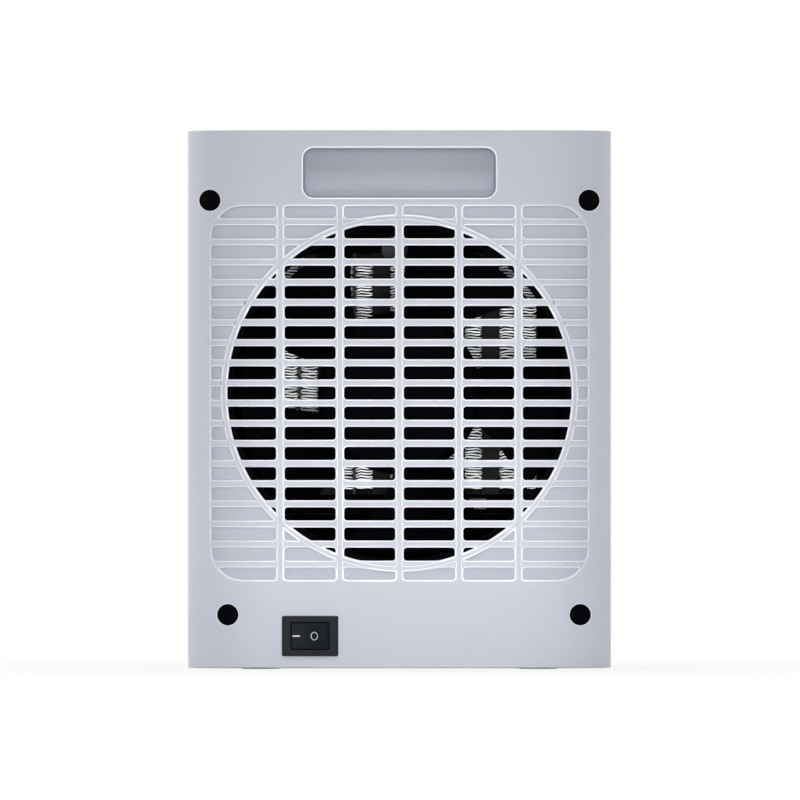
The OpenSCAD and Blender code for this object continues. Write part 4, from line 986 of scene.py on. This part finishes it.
def whiteWhere(tree, share, base, whiteKind, outputKind):
    # the base shader, turned to full white by a share
    white = addNode(tree, whiteKind, {"Color": (1, 1, 1, 1), "Strength": 1.0})
    mixed = addNode(tree, "MixShader", {}, {0: share, 1: base.outputs[0], 2: white.outputs[0]})
    addNode(tree, outputKind, {}, {"Surface": mixed.outputs[0]})


def studioWorld(look):
    # a light tent: open in front of the object, dim round its flanks and bright behind it, more so on the left
    scene.world = bpy.data.worlds.new("paleStudio")
    tree = emptied(scene.world)
    way = addNode(tree, "SeparateXYZ", {}, {0: addNode(tree, "TexCoord").outputs["Generated"]})
    front = mapped(tree, way.outputs["Y"], look["frontFrom"], (look["flank"], look["front"]), "SMOOTHSTEP")
    back = mapped(tree, way.outputs["Y"], look["backFrom"], (0.0, look["back"] - look["flank"]), "SMOOTHSTEP")
    sides = mapped(tree, way.outputs["X"], (-1.0, 1.0), (1 + look["leftShare"], 1 - look["leftShare"]))
    level = mathOf(tree, "MULTIPLY_ADD", back, sides, front)
    tent = addNode(tree, "Background", {"Color": fromHex(look["tint"])}, {"Strength": level})
    whiteWhere(tree, whiteBeyond(tree), tent, "Background", "OutputWorld")


def studioFloor(look):
    # painted floor that takes the shadow near the object and fades into the white backdrop
    half = look["halfM"]
    mesh = bpy.data.meshes.new("studioFloor")
    mesh.from_pydata([(-half, -half, 0), (half, -half, 0), (half, half, 0), (-half, half, 0)], [], [(0, 1, 2, 3)])
    floor = linked("studioFloor", mesh)
    made = bpy.data.materials.new("paintedFloor")
    tree = emptied(made)
    reach = addNode(tree, "VectorMath", {"operation": "LENGTH"},
                    {0: addNode(tree, "TexCoord").outputs["Object"]}).outputs["Value"]
    fade = mapped(tree, reach, (look["shadowM"], look["whiteM"]), (look["glow"], 1.0))
    paint = addNode(tree, "BsdfDiffuse", {"Color": (look["paint"],) * 3 + (1,)})
    whiteWhere(tree, mathOf(tree, "MULTIPLY", whiteBeyond(tree), fade), paint, "Emission", "OutputMaterial")
    mesh.materials.append(made)


def softLamp(name, look):
    # a white rectangular lamp aimed at a point
    lamp = bpy.data.lights.new(name, "AREA")
    lamp.shape = "RECTANGLE"
    lamp.size, lamp.size_y = look["sizeM"]
    lamp.energy = look["watts"]
    lamp.spread = math.radians(look["spreadDeg"])
    made = linked(name, lamp)
    made.location = look["atM"]
    aim = Vector(look["aimM"]) - Vector(look["atM"])
    made.rotation_euler = aim.to_track_quat("-Z", "Y").to_euler()


studioWorld({"tint": "#fdfdff", "front": 0.34, "flank": 0.07, "back": 2.5, "frontFrom": (-0.6, -0.9),
             "backFrom": (0.0, 0.3), "leftShare": 0.3})
studioFloor({"halfM": 6.0, "paint": 0.5, "glow": 0.88, "shadowM": 0.1, "whiteM": 0.26})
lamps = {
    "frontBox": {"atM": (0, -2.6, 2.0), "aimM": (0, 0, 0.1), "sizeM": (1.0, 0.8), "spreadDeg": 180, "watts": 20.5},
    "axisBox": {"atM": (0.05, -2.8, 0.1), "aimM": (0, 0, 0.1), "sizeM": (0.5, 0.2), "spreadDeg": 180,
                "watts": 12.5},
    "lowBox": {"atM": (0.005, -0.7, 0.035), "aimM": (0.005, 0, 0.035), "sizeM": (0.16, 0.06), "spreadDeg": 35,
               "watts": 0.05},
}
for lampName, look in lamps.items():
    softLamp(lampName, look)
print("stage, lamps and camera set")
